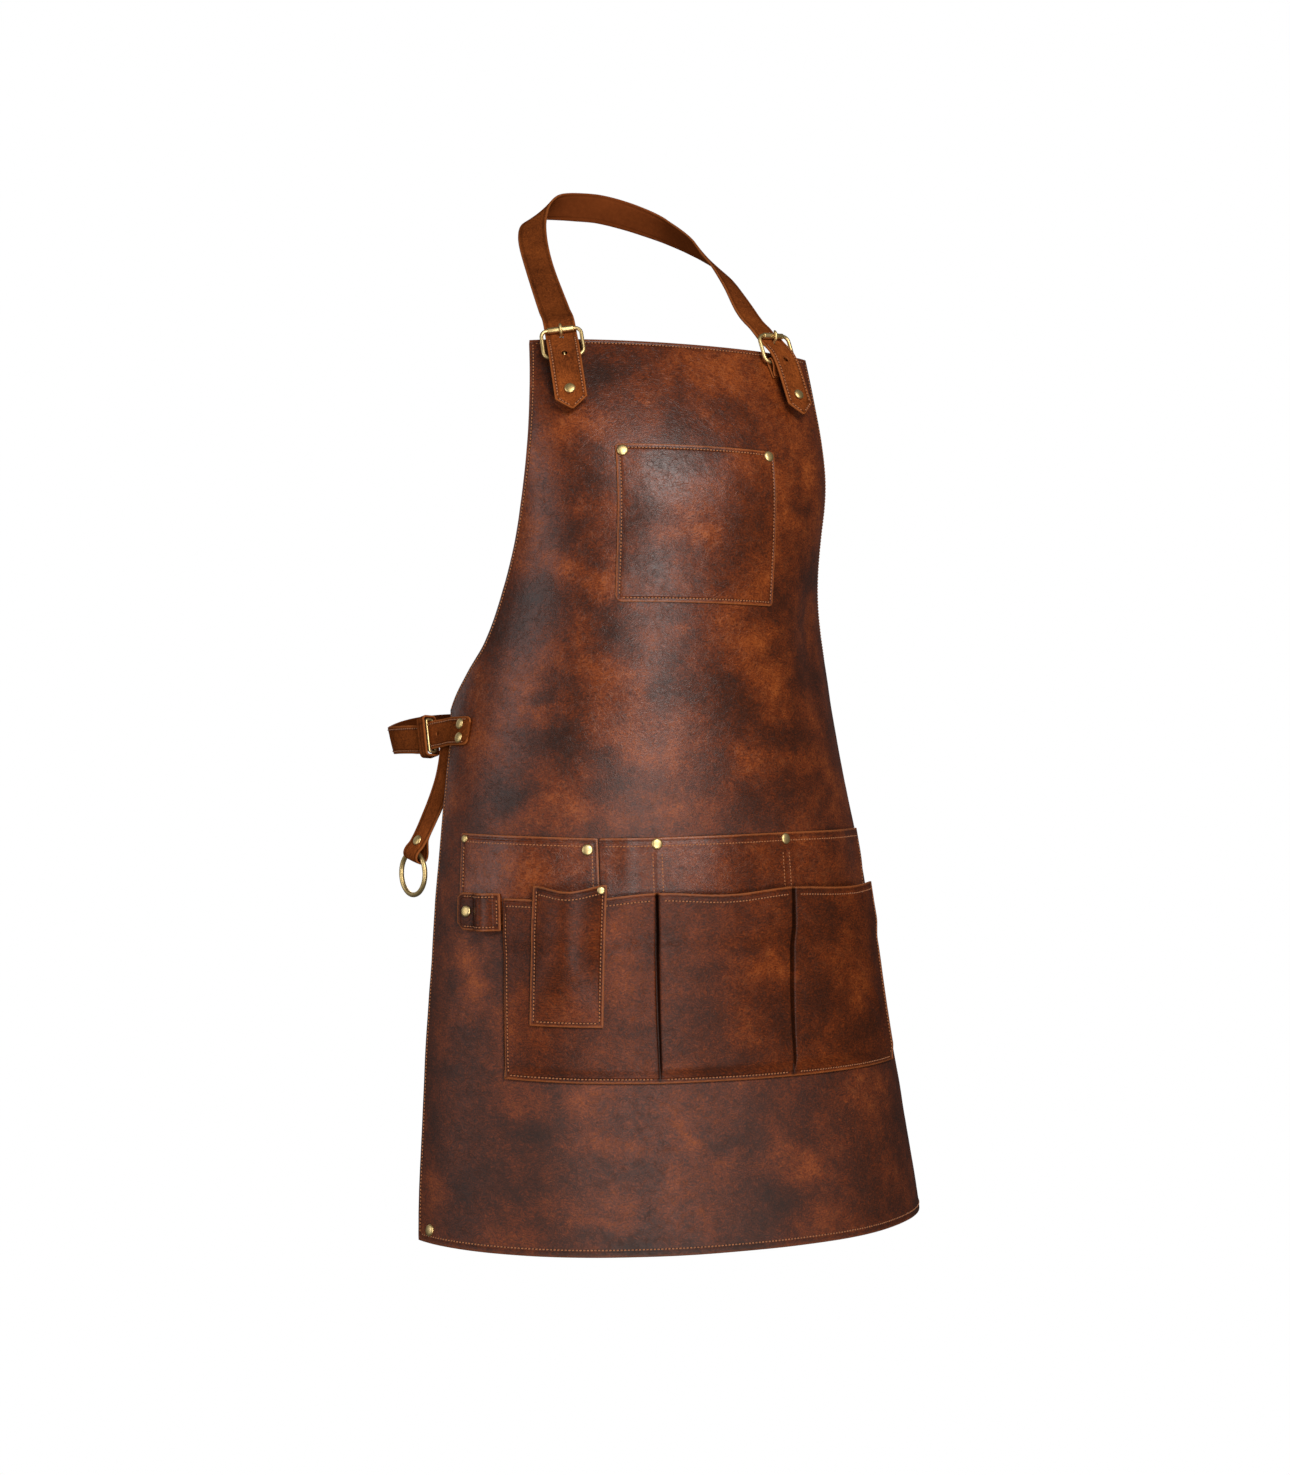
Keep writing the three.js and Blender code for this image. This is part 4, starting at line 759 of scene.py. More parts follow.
def tube(points, radius, sides, closed):
    """Round bar along points, its ends domed if open."""
    points = np.asarray(points, float)
    n = len(points)
    T = unit(np.roll(points, -1, 0) - np.roll(points, 1, 0)) if closed else unit(np.gradient(points, axis=0))
    c = points - points.mean(0)
    ref = np.cross(c, np.roll(c, -1, 0)).sum(0)
    v = unit(ref - (T @ ref)[:, None] * T)
    w = np.cross(T, v)
    r = np.broadcast_to(np.asarray(radius, float), (n,))
    q = np.arange(sides) * 2 * np.pi / sides
    V = (points[:, None] + v[:, None] * (r[:, None] * np.cos(q))[..., None]
         + w[:, None] * (r[:, None] * np.sin(q))[..., None]).reshape(-1, 3)
    F = []
    for i in range(n if closed else n - 1):
        for k in range(sides):
            a, b = i * sides + k, i * sides + (k + 1) % sides
            c2, d = ((i + 1) % n) * sides + k, ((i + 1) % n) * sides + (k + 1) % sides
            F.append([a, b, d, c2])
    if not closed:
        V = np.concatenate([V, [points[0] - T[0] * r[0] * 0.5, points[-1] + T[-1] * r[-1] * 0.5]])
        for k in range(sides):
            l = (k + 1) % sides
            F.append([n * sides, l, k])
            F.append([n * sides + 1, (n - 1) * sides + k, (n - 1) * sides + l])
    return V, F


class Parts:
    """Several closed shapes gathered into one mesh."""

    def __init__(self):
        self.V, self.F, self.n = [], [], 0

    def add(self, shape):
        V, F = shape
        self.V.append(np.asarray(V))
        self.F += [[i + self.n for i in f] for f in F]
        self.n += len(V)

    def mesh(self, name, material):
        o = make(name, np.concatenate(self.V), self.F, material)
        fix_normals(o)
        return o


def rounded_loop(hp, hq, r, steps, mids=3):
    """Closed line of (p, q) round a rectangle with rounded corners."""
    out = []
    for sx, sy, a0 in ((1, 1, 0), (-1, 1, 90), (-1, -1, 180), (1, -1, 270)):
        arc = []
        for i in range(steps + 1):
            a = math.radians(a0 + 90 * i / steps)
            arc.append((sx * (hp - r) + r * math.cos(a), sy * (hq - r) + r * math.sin(a)))
        if out:
            p, q = out[-1], arc[0]
            out += [(p[0] + (q[0] - p[0]) * k / (mids + 1), p[1] + (q[1] - p[1]) * k / (mids + 1)) for k in range(1, mids + 1)]
        out += arc
    p, q = out[-1], out[0]
    out += [(p[0] + (q[0] - p[0]) * k / (mids + 1), p[1] + (q[1] - p[1]) * k / (mids + 1)) for k in range(1, mids + 1)]
    return np.array(out)


# ---------------------------------------------------------------- leather pieces
BODY, R_EDGE = "apron", 0.85
stitch = Thread()
metal = Parts()
metal_nodes = []


def done(o, nodes, body=BODY):
    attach(o, body)
    if nodes:
        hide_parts(*nodes)
    return o


# tanner and darker places of the panel: u, z, spread u, spread z, tone
PANEL_PATCHES = [
    # bib
    (-105, -90, 33, 17, 0.7), (-138, -97, 22, 17, 0.6), (47, -30, 26, 26, 0.8), (-111, -163, 23, 13, 0.5),
    (-160, -179, 19, 13, 0.6), (91, -134, 21, 26, 0.6), (126, -105, 16, 33, 0.6), (-117, -225, 44, 15, 0.8),
    (-82, -30, 22, 19, -0.9), (-141, -33, 13, 33, -0.6), (41, -62, 21, 13, -0.4), (-93, -130, 18, 17, -0.7),
    (-127, -184, 25, 19, -0.9), (119, -158, 21, 11, -0.4), (141, -223, 23, 19, -0.5), (-159, -233, 25, 13, -0.8),
    # waist
    (-172, -260, 40, 30, -1.1), (-76, -279, 22, 10, -0.7), (-139, -331, 26, 12, -0.9), (-13, -334, 44, 17, -0.6),
    (-132, -375, 29, 17, -0.9), (-154, -422, 33, 14, -0.9), (105, -365, 48, 17, -0.6), (-195, -313, 38, 17, 0.7),
    (-90, -300, 26, 24, 0.7), (-60, -326, 22, 24, 0.5), (61, -279, 34, 13, 0.6), (74, -316, 36, 17, 0.5),
    (-83, -374, 26, 13, 0.6), (102, -401, 56, 10, 0.6), (-149, -345, 20, 10, 0.5), (-104, -450, 27, 10, 0.6),
    # skirt
    (-225, -590, 13, 28, 0.9), (-273, -780, 19, 26, 0.5), (-96, -737, 25, 10, 0.6), (-28, -741, 22, 8, 0.6),
    (-165, -782, 27, 13, 0.6), (88, -761, 29, 17, 0.5), (-113, -804, 24, 7, 0.5), (-173, -725, 31, 11, -0.9),
    (-241, -678, 21, 20, -0.7), (-269, -730, 20, 15, -0.6), (-6, -736, 25, 8, -0.6), (73, -789, 34, 15, -0.6),
    (-85, -818, 23, 6, -0.9)]
BIB_PATCHES = [(-55, -174, 24, 20, -0.7), (-46, -212, 17, 17, -0.5), (-39, -118, 26, 9, -0.6), (50, -126, 18, 19, 0.6),
               (2, -193, 22, 8, 0.5), (6, -228, 26, 8, -0.5), (66, -225, 15, 11, 0.6)]
ROW_PATCHES = [(-82, -530, 16, 9, -0.6), (-80, -559, 18, 13, 0.4), (-76, -652, 18, 9, 0.5), (-20, -600, 21, 13, 0.4),
               (62, -592, 15, 15, 0.6), (25, -569, 24, 15, -0.6), (24, -666, 26, 8, -0.5), (131, -551, 19, 17, -0.4),
               (163, -619, 20, 20, 0.4)]


def panel_grid():
    z = np.concatenate([rows_of(-R_EDGE, -346.1, 3.3)[:-1], rows_of(-346.1, -362.7, 2.0)[:-1], rows_of(-362.7, -LENGTH + R_EDGE, 3.6)])
    hw = half_width(z)
    slope = np.hypot(1.0, np.gradient(hw, z))
    s = np.linspace(-1, 1, 161)
    s = 0.55 * s + 0.45 * np.sin(s * np.pi / 2)
    u = s[None] * (hw - R_EDGE * slope)[:, None]
    zz = np.repeat(z[:, None], len(s), 1)
    e = np.minimum((hw[:, None] - np.abs(u)) / slope[:, None], np.minimum(-zz, LENGTH + zz))
    return u, zz, e


u, z, e = panel_grid()
fade = 1 - smooth(0, 5, e)
outer, inner = on_form(u, z, 0 - 0.25 * fade), on_form(u, z, -PANEL_T + 0 * u)
V, F, A, X = shell(outer, inner, R_EDGE, e, patches(u, z, PANEL_PATCHES), flat_of(u, z))
panel = done(make("panel", V, F, panel_leather, A, X), ["apron_panel"])


def panel_row(us, zs, d=0.0):
    """Path on the panel's face with its normals."""
    us, zs = np.broadcast_arrays(np.asarray(us, float), np.asarray(zs, float))
    p = on_form(us, zs, d)
    n = unit(np.cross(on_form(us + 0.5, zs, d) - on_form(us - 0.5, zs, d),
                      on_form(us, np.minimum(zs + 0.5, 0), d) - on_form(us, zs - 0.5, d)))
    return p, n


# rows of stitching round the panel's edge
IN = 4.1
for sgn in (-1, 1):
    zz = rows_of(-IN, -346.1, 2.0)
    hw = half_width(zz)
    stitch.row(*panel_row(sgn * (hw - IN * np.hypot(1, np.gradient(hw, zz))), zz))
    zz = rows_of(-347.5, -LENGTH + 6.2, 3.0)
    hw = half_width(zz)
    stitch.row(*panel_row(sgn * (hw - IN * np.hypot(1, np.gradient(hw, zz))), zz))
stitch.row(*panel_row(rows_of(-143, 143, 2.0), -3.9))
stitch.row(*panel_row(rows_of(-300, 300, 3.0), -LENGTH + 6.2))


def laid(name, u0, u1, top, bottom, lift, nodes, cols, step, radii=(0, 0, 0, 0), tone=None, crease=None, shift=0.0,
         under=False):
    """A pocket laid on the panel.  With under, its left end shows no cut edge: the leather runs on under its neighbour."""
    r = R_EDGE
    us = rows_of(u0 + r, u1 - r, step)
    fs = np.linspace(0, 1, cols)
    uu = np.repeat(us[None], cols, 0)
    a, b = top(uu) - r, bottom(uu) + r
    zz = a + (b - a) * fs[:, None]
    # corners are rounded in a frame whose top and bottom are straight
    if max(radii) > 0:
        x, y = round_corners(uu, b + (a - b) * (1 - fs[:, None]), us[0], us[-1], float(b.mean()), float(a.mean()), radii)
        uu, zz = x, y
    e = np.minimum(np.minimum(uu - u0 + (50 if under else 0), u1 - uu), np.minimum(top(uu) - zz, zz - bottom(uu)))
    dip = 0.30 * (1 - smooth(0, 1.6, e)) + 0.30 * np.exp(-((e - 3.7) / 1.3) ** 2)
    c = crease(uu, zz) if crease else 0.0
    outer = on_form(uu, zz, lift(uu, zz) + POCKET_T - dip + c)
    inner = on_form(uu, zz, lift(uu, zz) + 0.5 * c)
    t = tone(uu, zz) if tone else 0 * uu
    V, F, A, X = shell(outer, inner, r, e, t, flat_of(uu, zz, shift))
    if under:
        ends = rim_loop(*uu.shape)[0][:, 1] == 0
        rings = (len(V) - 2 * uu.size) // len(ends)
        A["edge"][2 * uu.size:][np.tile(ends, rings)] = 6.0
    return done(make(name, V, F, pocket_leather, A, X), nodes)


def pocket_row(us, zs, lift, pitch=3.25):
    us, zs = np.broadcast_arrays(np.asarray(us, float), np.asarray(zs, float))
    f = lambda a, b: on_form(a, b, lift(a, b) + POCKET_T)
    n = unit(np.cross(f(us + 0.5, zs) - f(us - 0.5, zs), f(us, zs + 0.5) - f(us, zs - 0.5)))
    stitch.row(f(us, zs) - n * 0.22, n, pitch)


# breast pocket
BIB_U, BIB_TOP, BIB_BOTTOM = 79.5, -105.0, -250.5


def bib_lift(u, z):
    return GAP + 3.2 * (1 - np.abs(np.clip(u / BIB_U, -1, 1)) ** 2.6) * smooth(BIB_BOTTOM + 4, BIB_BOTTOM + 90, z)


def bib_crease(u, z):
    w = smooth(79, 66, np.abs(u)) * smooth(-107, -116, z) * smooth(-250, -238, z)
    k = 0.16 * fbm(u / 15.0 + 0.3 * z / 15.0, z / 24.0, 31, 3)
    return w * (k - 0.10)


bib = laid("bib_pocket_leather", -BIB_U, BIB_U, lambda u: BIB_TOP + 0 * u, lambda u: BIB_BOTTOM + 0 * u, bib_lift,
           ["bib_pocket"], 118, 1.25, (1.5, 1.5, 3.5, 6.0), crease=bib_crease, shift=0.53,
           tone=lambda u, z: patches(u, z, BIB_PATCHES))
q = 3.7
pocket_row(rows_of(-BIB_U + q, BIB_U - q, 1.5), BIB_TOP - q, bib_lift)
pocket_row(rows_of(-BIB_U + 6, BIB_U - q, 1.5), BIB_BOTTOM + q, bib_lift)
pocket_row(-BIB_U + q, rows_of(BIB_TOP - q - 2, BIB_BOTTOM + 6, 1.5), bib_lift)
pocket_row(BIB_U - q, rows_of(BIB_TOP - q - 2, BIB_BOTTOM + q, 1.5), bib_lift)

# upper tool strip
UP_L, UP_S, UP_R, UP_B = -233.0, -96.0, 214.0, -546.0
up_top = linear([(-233, -463.3), (-96, -467.2), (-42, -466.6), (90, -462.7), (214, -460.5)])


def up_lift_l(u, z):
    return GAP + 0.7 + 3.0 * hump(u, UP_L + 8, UP_S - 12) * smooth(UP_B + 10, -483.5, z)


def up_lift_r(u, z):
    seam = 0.55 * (np.exp(-((u + 42.6) / 2.2) ** 2) + np.exp(-((u - 89.0) / 2.2) ** 2))
    return GAP + 0.55 * smooth(-95, -88, u) - np.minimum(seam, 0.55) + (2.6 * hump(u, -88, -45) + 4.0 * hump(u, -40, 88) + 4.6 * hump(u, 92, 212)
                                + 2.2 * smooth(188, 214, u)) * smooth(UP_B + 10, -483.5, z)


strip_l = laid("upper_strip_left", UP_L, UP_S - 0.4, up_top, lambda u: UP_B + 0 * u, up_lift_l, ["upper_pocket_left"],
               54, 1.5, shift=0.91)
strip_r = laid("upper_strip_right", UP_S + 0.4, UP_R, up_top, lambda u: UP_B + 0 * u, up_lift_r, ["upper_pocket_right"],
               54, 1.6, shift=0.91, under=True)
pocket_row(rows_of(UP_L + 4, UP_S - 5, 1.5), up_top(rows_of(UP_L + 4, UP_S - 5, 1.5)) - 7.6, up_lift_l)
pocket_row(rows_of(UP_S + 4, UP_R - 4, 1.5), up_top(rows_of(UP_S + 4, UP_R - 4, 1.5)) - 7.6, up_lift_r)
pocket_row(UP_L + 4.2, rows_of(-474, -515, 1.5), up_lift_l)
pocket_row(UP_S - 6.0, rows_of(-472, -522, 1.5), up_lift_l)
for c in (-47.0, -38.4, 85.2, 92.6):
    pocket_row(c, rows_of(-479, -518, 1.5), up_lift_r)
pocket_row(UP_R - 4.2, rows_of(-470, -520, 1.5), up_lift_r)

# lower pocket row: one strip pleated into three compartments
ROW_L, ROW_R, ROW_T, ROW_B, ROW_D = -185.0, 206.0, -517.0, -684.5, 11.5
PLEATS = ((-46.5, -52.0), (85.5, 79.0))
row_top = linear([(-185, -522), (-49, -516.5), (82, -513), (214, -512)])
row_foot = linear([(-192, -681.6), (-120, -684.3), (-52, -685.4), (79, -685.0), (230, -684.3)])


def row_z_top(u):
    return row_top(u) - 3.6 * (hump(u, -185, -49) + hump(u, -47, 83) + 0.6 * hump(u, 83, 214))


def row_seat(z):
    return GAP + 0.75 + 2.7 * smooth(-572, -550, z)


def row_drop(z):
    return np.clip((ROW_T - z) / (ROW_T - ROW_B), 0, 1)


def row_depth(z):
    return ROW_D * (1 - 0.55 * smooth(0.1, 0.9, row_drop(z)) - 0.45 * smooth(0.9, 0.99, row_drop(z)))


def row_left(z):
    return ROW_L - 6.5 * row_drop(z)


def row_right(z):
    return ROW_R + 24 * row_drop(z)


def pleat_u(k, z):
    return PLEATS[k][0] + (PLEATS[k][1] - PLEATS[k][0]) * row_drop(z)


def pleat_gap(z):
    return 1.3 + 0.8 * np.sin(np.pi * row_drop(z))


def row_face_k(k, f, z):
    s = (0.82, 1.0, 1.12)[k]
    e0, e1 = ((0.0, 0.80), (0.80, 0.80), (0.80, 0.55))[k]
    edge = e0 + (e1 - e0) * f
    return row_seat(z) + POCKET_T + row_depth(z) * s * (edge + (1 - edge) * np.sin(np.pi * np.clip(f, 0, 1)) ** 0.8)


def compartment(k, z):
    g = pleat_gap(z)
    a = row_left(z) if k == 0 else pleat_u(k - 1, z) + g
    b = row_right(z) if k == 2 else pleat_u(k, z) - g
    return a, b


def row_face(u, z):
    a, b = compartment(0, z)
    return row_face_k(0, (u - a) / (b - a), z)


def row_section(z):
    """Outer line of the row at a height, dense, with its pleats softly turned: columns of (u, d)."""
    pts = []
    seat = row_seat(z) + POCKET_T
    fs = np.concatenate([np.linspace(0, 0.08, 5)[:-1], np.linspace(0.08, 0.92, 46), np.linspace(0.92, 1, 5)[1:]])
    for k in range(3):
        a, b = compartment(k, z)
        for f in fs:
            pts.append((a + (b - a) * f, row_face_k(k, f, z)))
        if k < 2:
            c, g = pleat_u(k, z), pleat_gap(z) * 0.45
            a2 = compartment(k + 1, z)[0]
            d1, d2 = row_face_k(k, 1.0, z), row_face_k(k + 1, 0.0, z)
            for m in (0.2, 0.45, 0.7, 1.0):
                pts.append((b + (c - g - b) * m, d1 + (seat - d1) * m))
            for m in (1.0, 0.7, 0.45, 0.2):
                pts.append((a2 + (c + g - a2) * m, d2 + (seat - d2) * m))
    line = np.array([[float(p), float(d)] for p, d in pts])
    for _ in range(1):
        a, b = line[:-1], line[1:]
        mid = np.stack([0.75 * a + 0.25 * b, 0.25 * a + 0.75 * b], 1).reshape(-1, 2)
        line = np.concatenate([line[:1], mid, line[-1:]])
    return line


def inset(line, t):
    d = np.diff(line, axis=0)
    n = np.stack([-d[:, 1], d[:, 0]], -1)
    n /= np.maximum(np.linalg.norm(n, axis=1, keepdims=True), 1e-9)
    n = np.concatenate([n[:1], n[:-1] + n[1:], n[-1:]])
    n /= np.maximum(np.linalg.norm(n, axis=1, keepdims=True), 1e-9)
    return line - n * t


def row_crease(u, z):
    """Diagonal creases of the right compartment and soft unevenness of the rest."""
    w = smooth(88, 104, u) * smooth(212, 196, u) * smooth(-522, -540, z) * smooth(-680, -660, z)
    s = 0.64 * (u - 150) + 0.77 * (z + 590)
    fold = (0.9 * np.exp(-((s - 6) / 5.0) ** 2) - 0.8 * np.exp(-((s + 5) / 5.0) ** 2)
            + 0.6 * np.exp(-((s - 27) / 4.5) ** 2) - 0.5 * np.exp(-((s + 27) / 6.0) ** 2))
    return w * fold + 0.10 * fbm(u / 16.0, z / 19.0, 57, 2)


row_fs = np.concatenate([np.linspace(0.0052, 0.05, 5)[:-1], np.linspace(0.05, 0.94, 80), np.linspace(0.94, 0.995, 8)[1:]])
O, I, RU, RZ = [], [], [], []
for f in row_fs:
    z0 = ROW_T + (ROW_B - ROW_T) * f
    line = row_section(z0)
    line[0, 0] += R_EDGE
    line[-1, 0] -= R_EDGE
    ins = inset(line, POCKET_T)
    ins[:, 1] = np.maximum(ins[:, 1], row_seat(z0))
    zt = row_z_top(line[:, 0])
    zz = zt + (row_foot(line[:, 0]) - zt) * f
    c = row_crease(line[:, 0], zz)
    O.append(on_form(line[:, 0], zz, line[:, 1] + c))
    I.append(on_form(ins[:, 0], zz, ins[:, 1] + 0.6 * np.maximum(c, -0.2)))
    RU.append(line[:, 0])
    RZ.append(zz)
O, I, RU, RZ = (np.array(v) for v in (O, I, RU, RZ))
e = np.minimum(np.minimum(row_z_top(RU) - RZ, RZ - row_foot(RU)), np.minimum(RU - row_left(RZ), row_right(RZ) - RU))
# painted shade: the row's tone darkened along the two pleats, where they lie in shade
pleat_shade = sum(np.exp(-((RU - pleat_u(k, RZ)) / 1.5) ** 2) for k in (0, 1))
run = np.concatenate([np.zeros((len(row_fs), 1)), np.cumsum(np.linalg.norm(np.diff(O, axis=1), axis=2), 1)], 1)
V, F, A, X = shell(O, I, R_EDGE, np.maximum(e, R_EDGE * 0.9), patches(RU, RZ, ROW_PATCHES) - 1.6 * pleat_shade, flat_of(run - 185, RZ, 1.37))
row = done(make("lower_row", V, F, row_leather, A, X), ["lower_pocket_row"])
RN = normals_of(O)


def grid_line(G, N, ii, jj):
    """Path through a grid at fractional row and column numbers."""
    ii, jj = np.broadcast_arrays(np.asarray(ii, float), np.asarray(jj, float))
    i = np.clip(ii.astype(int), 0, G.shape[0] - 2)
    j = np.clip(jj.astype(int), 0, G.shape[1] - 2)
    a, b = (ii - i)[..., None], (jj - j)[..., None]
    f = lambda Q: (Q[i, j] * (1 - a) * (1 - b) + Q[i + 1, j] * a * (1 - b) + Q[i, j + 1] * (1 - a) * b + Q[i + 1, j + 1] * a * b)
    return f(G), unit(f(N))


def row_index(depth, j):
    """Row number where the leather is depth below its mouth in column j."""
    return np.array([np.interp(depth, row_z_top(RU[:, k]) - RZ[:, k], np.arange(len(row_fs))) for k in np.asarray(j, int)])


_c = np.arange(RU.shape[1])
_mid = len(row_fs) // 3
COLS = []
for k in range(3):
    a, b = compartment(k, ROW_T + (ROW_B - ROW_T) * row_fs[_mid])
    keep = _c[(RU[_mid] > float(a) + 2.2) & (RU[_mid] < float(b) - 2.2)]
    COLS.append((keep[0], keep[-1]))
for j0, j1 in COLS:
    j = np.arange(j0, j1 + 1)
    stitch.row(*grid_line(O, RN, row_index(7.0, j), j))
    stitch.row(*grid_line(O, RN, row_index(1e9, j) * 0 + np.interp(3.6, (RZ[:, j[0]] - row_foot(RU[:, j[0]]))[::-1], np.arange(len(row_fs))[::-1]), j))
for side, depth in ((0, 3.9), (1, 3.9)):
    ii = np.arange(6, len(row_fs) - 3)
    jj = np.array([np.interp(depth, run[i], _c) if side == 0 else np.interp(run[i, -1] - depth, run[i], _c) for i in ii])
    stitch.row(*grid_line(O, RN, ii, jj))

# narrow pocket on the row's left compartment
SLIM_T, SLIM_B = -509.7, -634.0


def slim_left(z):
    return -153.5 + 10 * (z - SLIM_T) / 120


def slim_right(z):
    return -90 + 9 * (z - SLIM_T) / 120


def slim_top(f):
    return SLIM_T + 1.2 * f - 5 * np.sin(np.pi * f) ** 2


def slim_uz(f, g):
    zz = slim_top(f) + (SLIM_B - 1.5 * f - slim_top(f)) * g
    return slim_left(zz) + (slim_right(zz) - slim_left(zz)) * f, zz


def slim_lift(u, z, f):
    base = np.maximum(row_face(u, np.minimum(z, -520)), 0) + 1.2
    return base + 12 * np.sin(np.pi * np.clip((f - 0.05) / 0.9, 0, 1)) ** 1.1 * smooth(SLIM_B + 6, SLIM_B + 70, z)


f, g = np.meshgrid(np.linspace(0.0137, 0.9863, 56), np.linspace(0.007, 0.993, 100))
su, sz = slim_uz(f, g)
so = on_form(su, sz, slim_lift(su, sz, f) + POCKET_T + 0.12 * fbm(su / 12, sz / 15, 77, 2))
si = on_form(su, sz, slim_lift(su, sz, f))
e = np.minimum(np.minimum(f, 1 - f) * 64, np.minimum(g, 1 - g) * 124)
V, F, A, X = shell(so, si, R_EDGE, np.maximum(e, 0.76), 0 * e, flat_of(su, sz, 2.11))
slim = done(make("slim_pocket_leather", V, F, row_leather, A, X), ["slim_pocket"])
sn = normals_of(so)
gi = lambda mm: 99 * (mm / 124 - 0.007) / 0.986
fj = lambda mm: 55 * (mm / 64 - 0.0137) / 0.9726
stitch.row(*grid_line(so, sn, np.linspace(gi(4), gi(120.5), 80), fj(3.6)))
stitch.row(*grid_line(so, sn, np.linspace(gi(4), gi(120.5), 80), fj(60.4)))
for mm in (7.6, 120.2):
    stitch.row(*grid_line(so, sn, gi(mm), np.linspace(fj(4.5), fj(59.5), 60)))

# pen loop
def pen_lift(u):
    s = (u + 204) / 8.5
    return 3.9 + 9.5 * np.where(np.abs(s) >= 1.15, 0, np.cos(np.pi / 2 * np.clip(s / 1.15, -1, 1)) ** 0.9)


pu = np.concatenate([rows_of(-233 + R_EDGE, -213.8, 1.2)[:-1], rows_of(-213.8, -194.2, 0.55)[:-1], rows_of(-194.2, -187.5 - R_EDGE, 1.0)])
pf = np.linspace(0.024, 0.976, 30)
uu, ff = np.meshgrid(pu, pf)
pt, pb = -517.5 - 4 * smooth(-226, -233, uu), -551.5 + 6 * smooth(-226, -233, uu)
zz = pt + (pb - pt) * ff
dd = pen_lift(uu)
for _ in range(3):
    dd[:, 1:-1] = 0.25 * dd[:, :-2] + 0.5 * dd[:, 1:-1] + 0.25 * dd[:, 2:]
po, pi_ = on_form(uu, zz, dd + POCKET_T), on_form(uu, zz, dd)
e = np.minimum(np.minimum(uu + 233, -187.5 - uu), np.minimum(ff, 1 - ff) * 34)
V, F, A, X = shell(po, pi_, R_EDGE, np.maximum(e, 0.76), 0 * e, flat_of(uu, zz, 2.73))
pen = done(make("pen_loop_leather", V, F, row_leather, A, X), ["pen_loop"])
pn = normals_of(po)
pi_of = lambda frac: 29 * (frac - 0.024) / 0.952
jx = np.arange(5, len(pu) - 4)
for frac in (0.10, 0.90):
    stitch.row(*grid_line(po, pn, pi_of(frac), jx))
stitch.row(*grid_line(po, pn, np.linspace(pi_of(0.12), pi_of(0.88), 24), np.interp(-190.8, pu, np.arange(len(pu)))))

# ---------------------------------------------------------------- neck strap and buckles
NECK_FACE = [(0.00, 0.00, -0.62, 0.78), (0.30, 0.08, -0.55, 0.83), (0.62, 0.40, -0.20, 0.88),
             (0.80, 0.58, 0.28, 0.76), (0.91, 0.36, 0.74, 0.52), (1.00, 0.00, 0.95, 0.30)]
face_x, face_y, face_z = (monotone(NECK_FACE, k) for k in (1, 2, 3))
# right half: part, place, outer face
NECK_RIGHT = [
    (0.060, 92.8, 66.0, 25.5, 0.08, -0.59, 0.81), (0.142, 89.7, 90.0, 43.3, 0.22, -0.61, 0.76),
    (0.270, 89.1, 125.0, 74.1, 0.40, -0.58, 0.71), (0.402, 89.2, 163.0, 103.3, 0.49, -0.50, 0.71),
    (0.494, 87.6, 191.0, 121.4, 0.57, -0.41, 0.71), (0.590, 84.1, 220.0, 140.7, 0.76, -0.25, 0.60),
    (0.686, 78.7, 250.0, 157.8, 0.83, -0.06, 0.55), (0.786, 68.0, 280.0, 175.3, 0.80, 0.28, 0.52),
    (0.859, 49.2, 295.0, 186.9, 0.54, 0.66, 0.50), (0.937, 22.8, 301.5, 195.2, 0.20, 0.87, 0.42),
    (1.000, 0.0, 302.0, 198.4, 0.00, 0.95, 0.30)]
neck_right = [monotone(NECK_RIGHT, k) for k in (1, 2, 3, 4, 5, 6)]
THROUGH = [(-87.8, 7.0, 0.08), (-82.0, 7.3, 0.56), (-76.3, 7.7, 1), (-68.0, 8.6, 1), (-58.0, 9.9, 1), (-48.0, 11.2, 1),
           (-38.0, 12.2, 1), (-29.0, 12.4, 1), (-21.0, 11.4, 1), (-14.0, 9.2, 1), (-8.0, 6.6, 1), (-2.5, 4.4, 1)]
OVER = {-1: [(3.0, 3.2, 1), (9.0, 2.2, 1)], 1: [(2.2, 2.7, 1)]}     # on over the bib's top edge
HEEL_Q, HEEL_H, TOP_Q, TOP_H, FRAME_R, ROLLER_R, BUCKLE_W = -27.5, 5.0, 0.0, 9.0, 1.8, 2.8, 37.6


def neck_point(th, s):
    f = math.sin(th) ** (2 / 2.872)
    return np.array([s * 113.6 * max(math.cos(th), 0) ** (2 / 3.449) * (1 - 0.315 * f * (1 - f)),
                     48.7 + 253.3 * f - ORIGIN_Y, 198.4 * f ** 1.07 - ORIGIN_Z])


def buckle_frame(s, u, turn, lift):
    b, w = frame_at(s * u, -0.6, 0), math.radians(turn)
    up = b.up * math.cos(w) - b.across * math.sin(w)
    return Frame(b.P - 30 * b.up + (30 + lift) * up, b.across * math.cos(w) + b.up * math.sin(w), up, b.out)


BL, BR = buckle_frame(-1, 111.3, 8.4, 5.1), buckle_frame(1, 102.5, 6.2, 14.5)


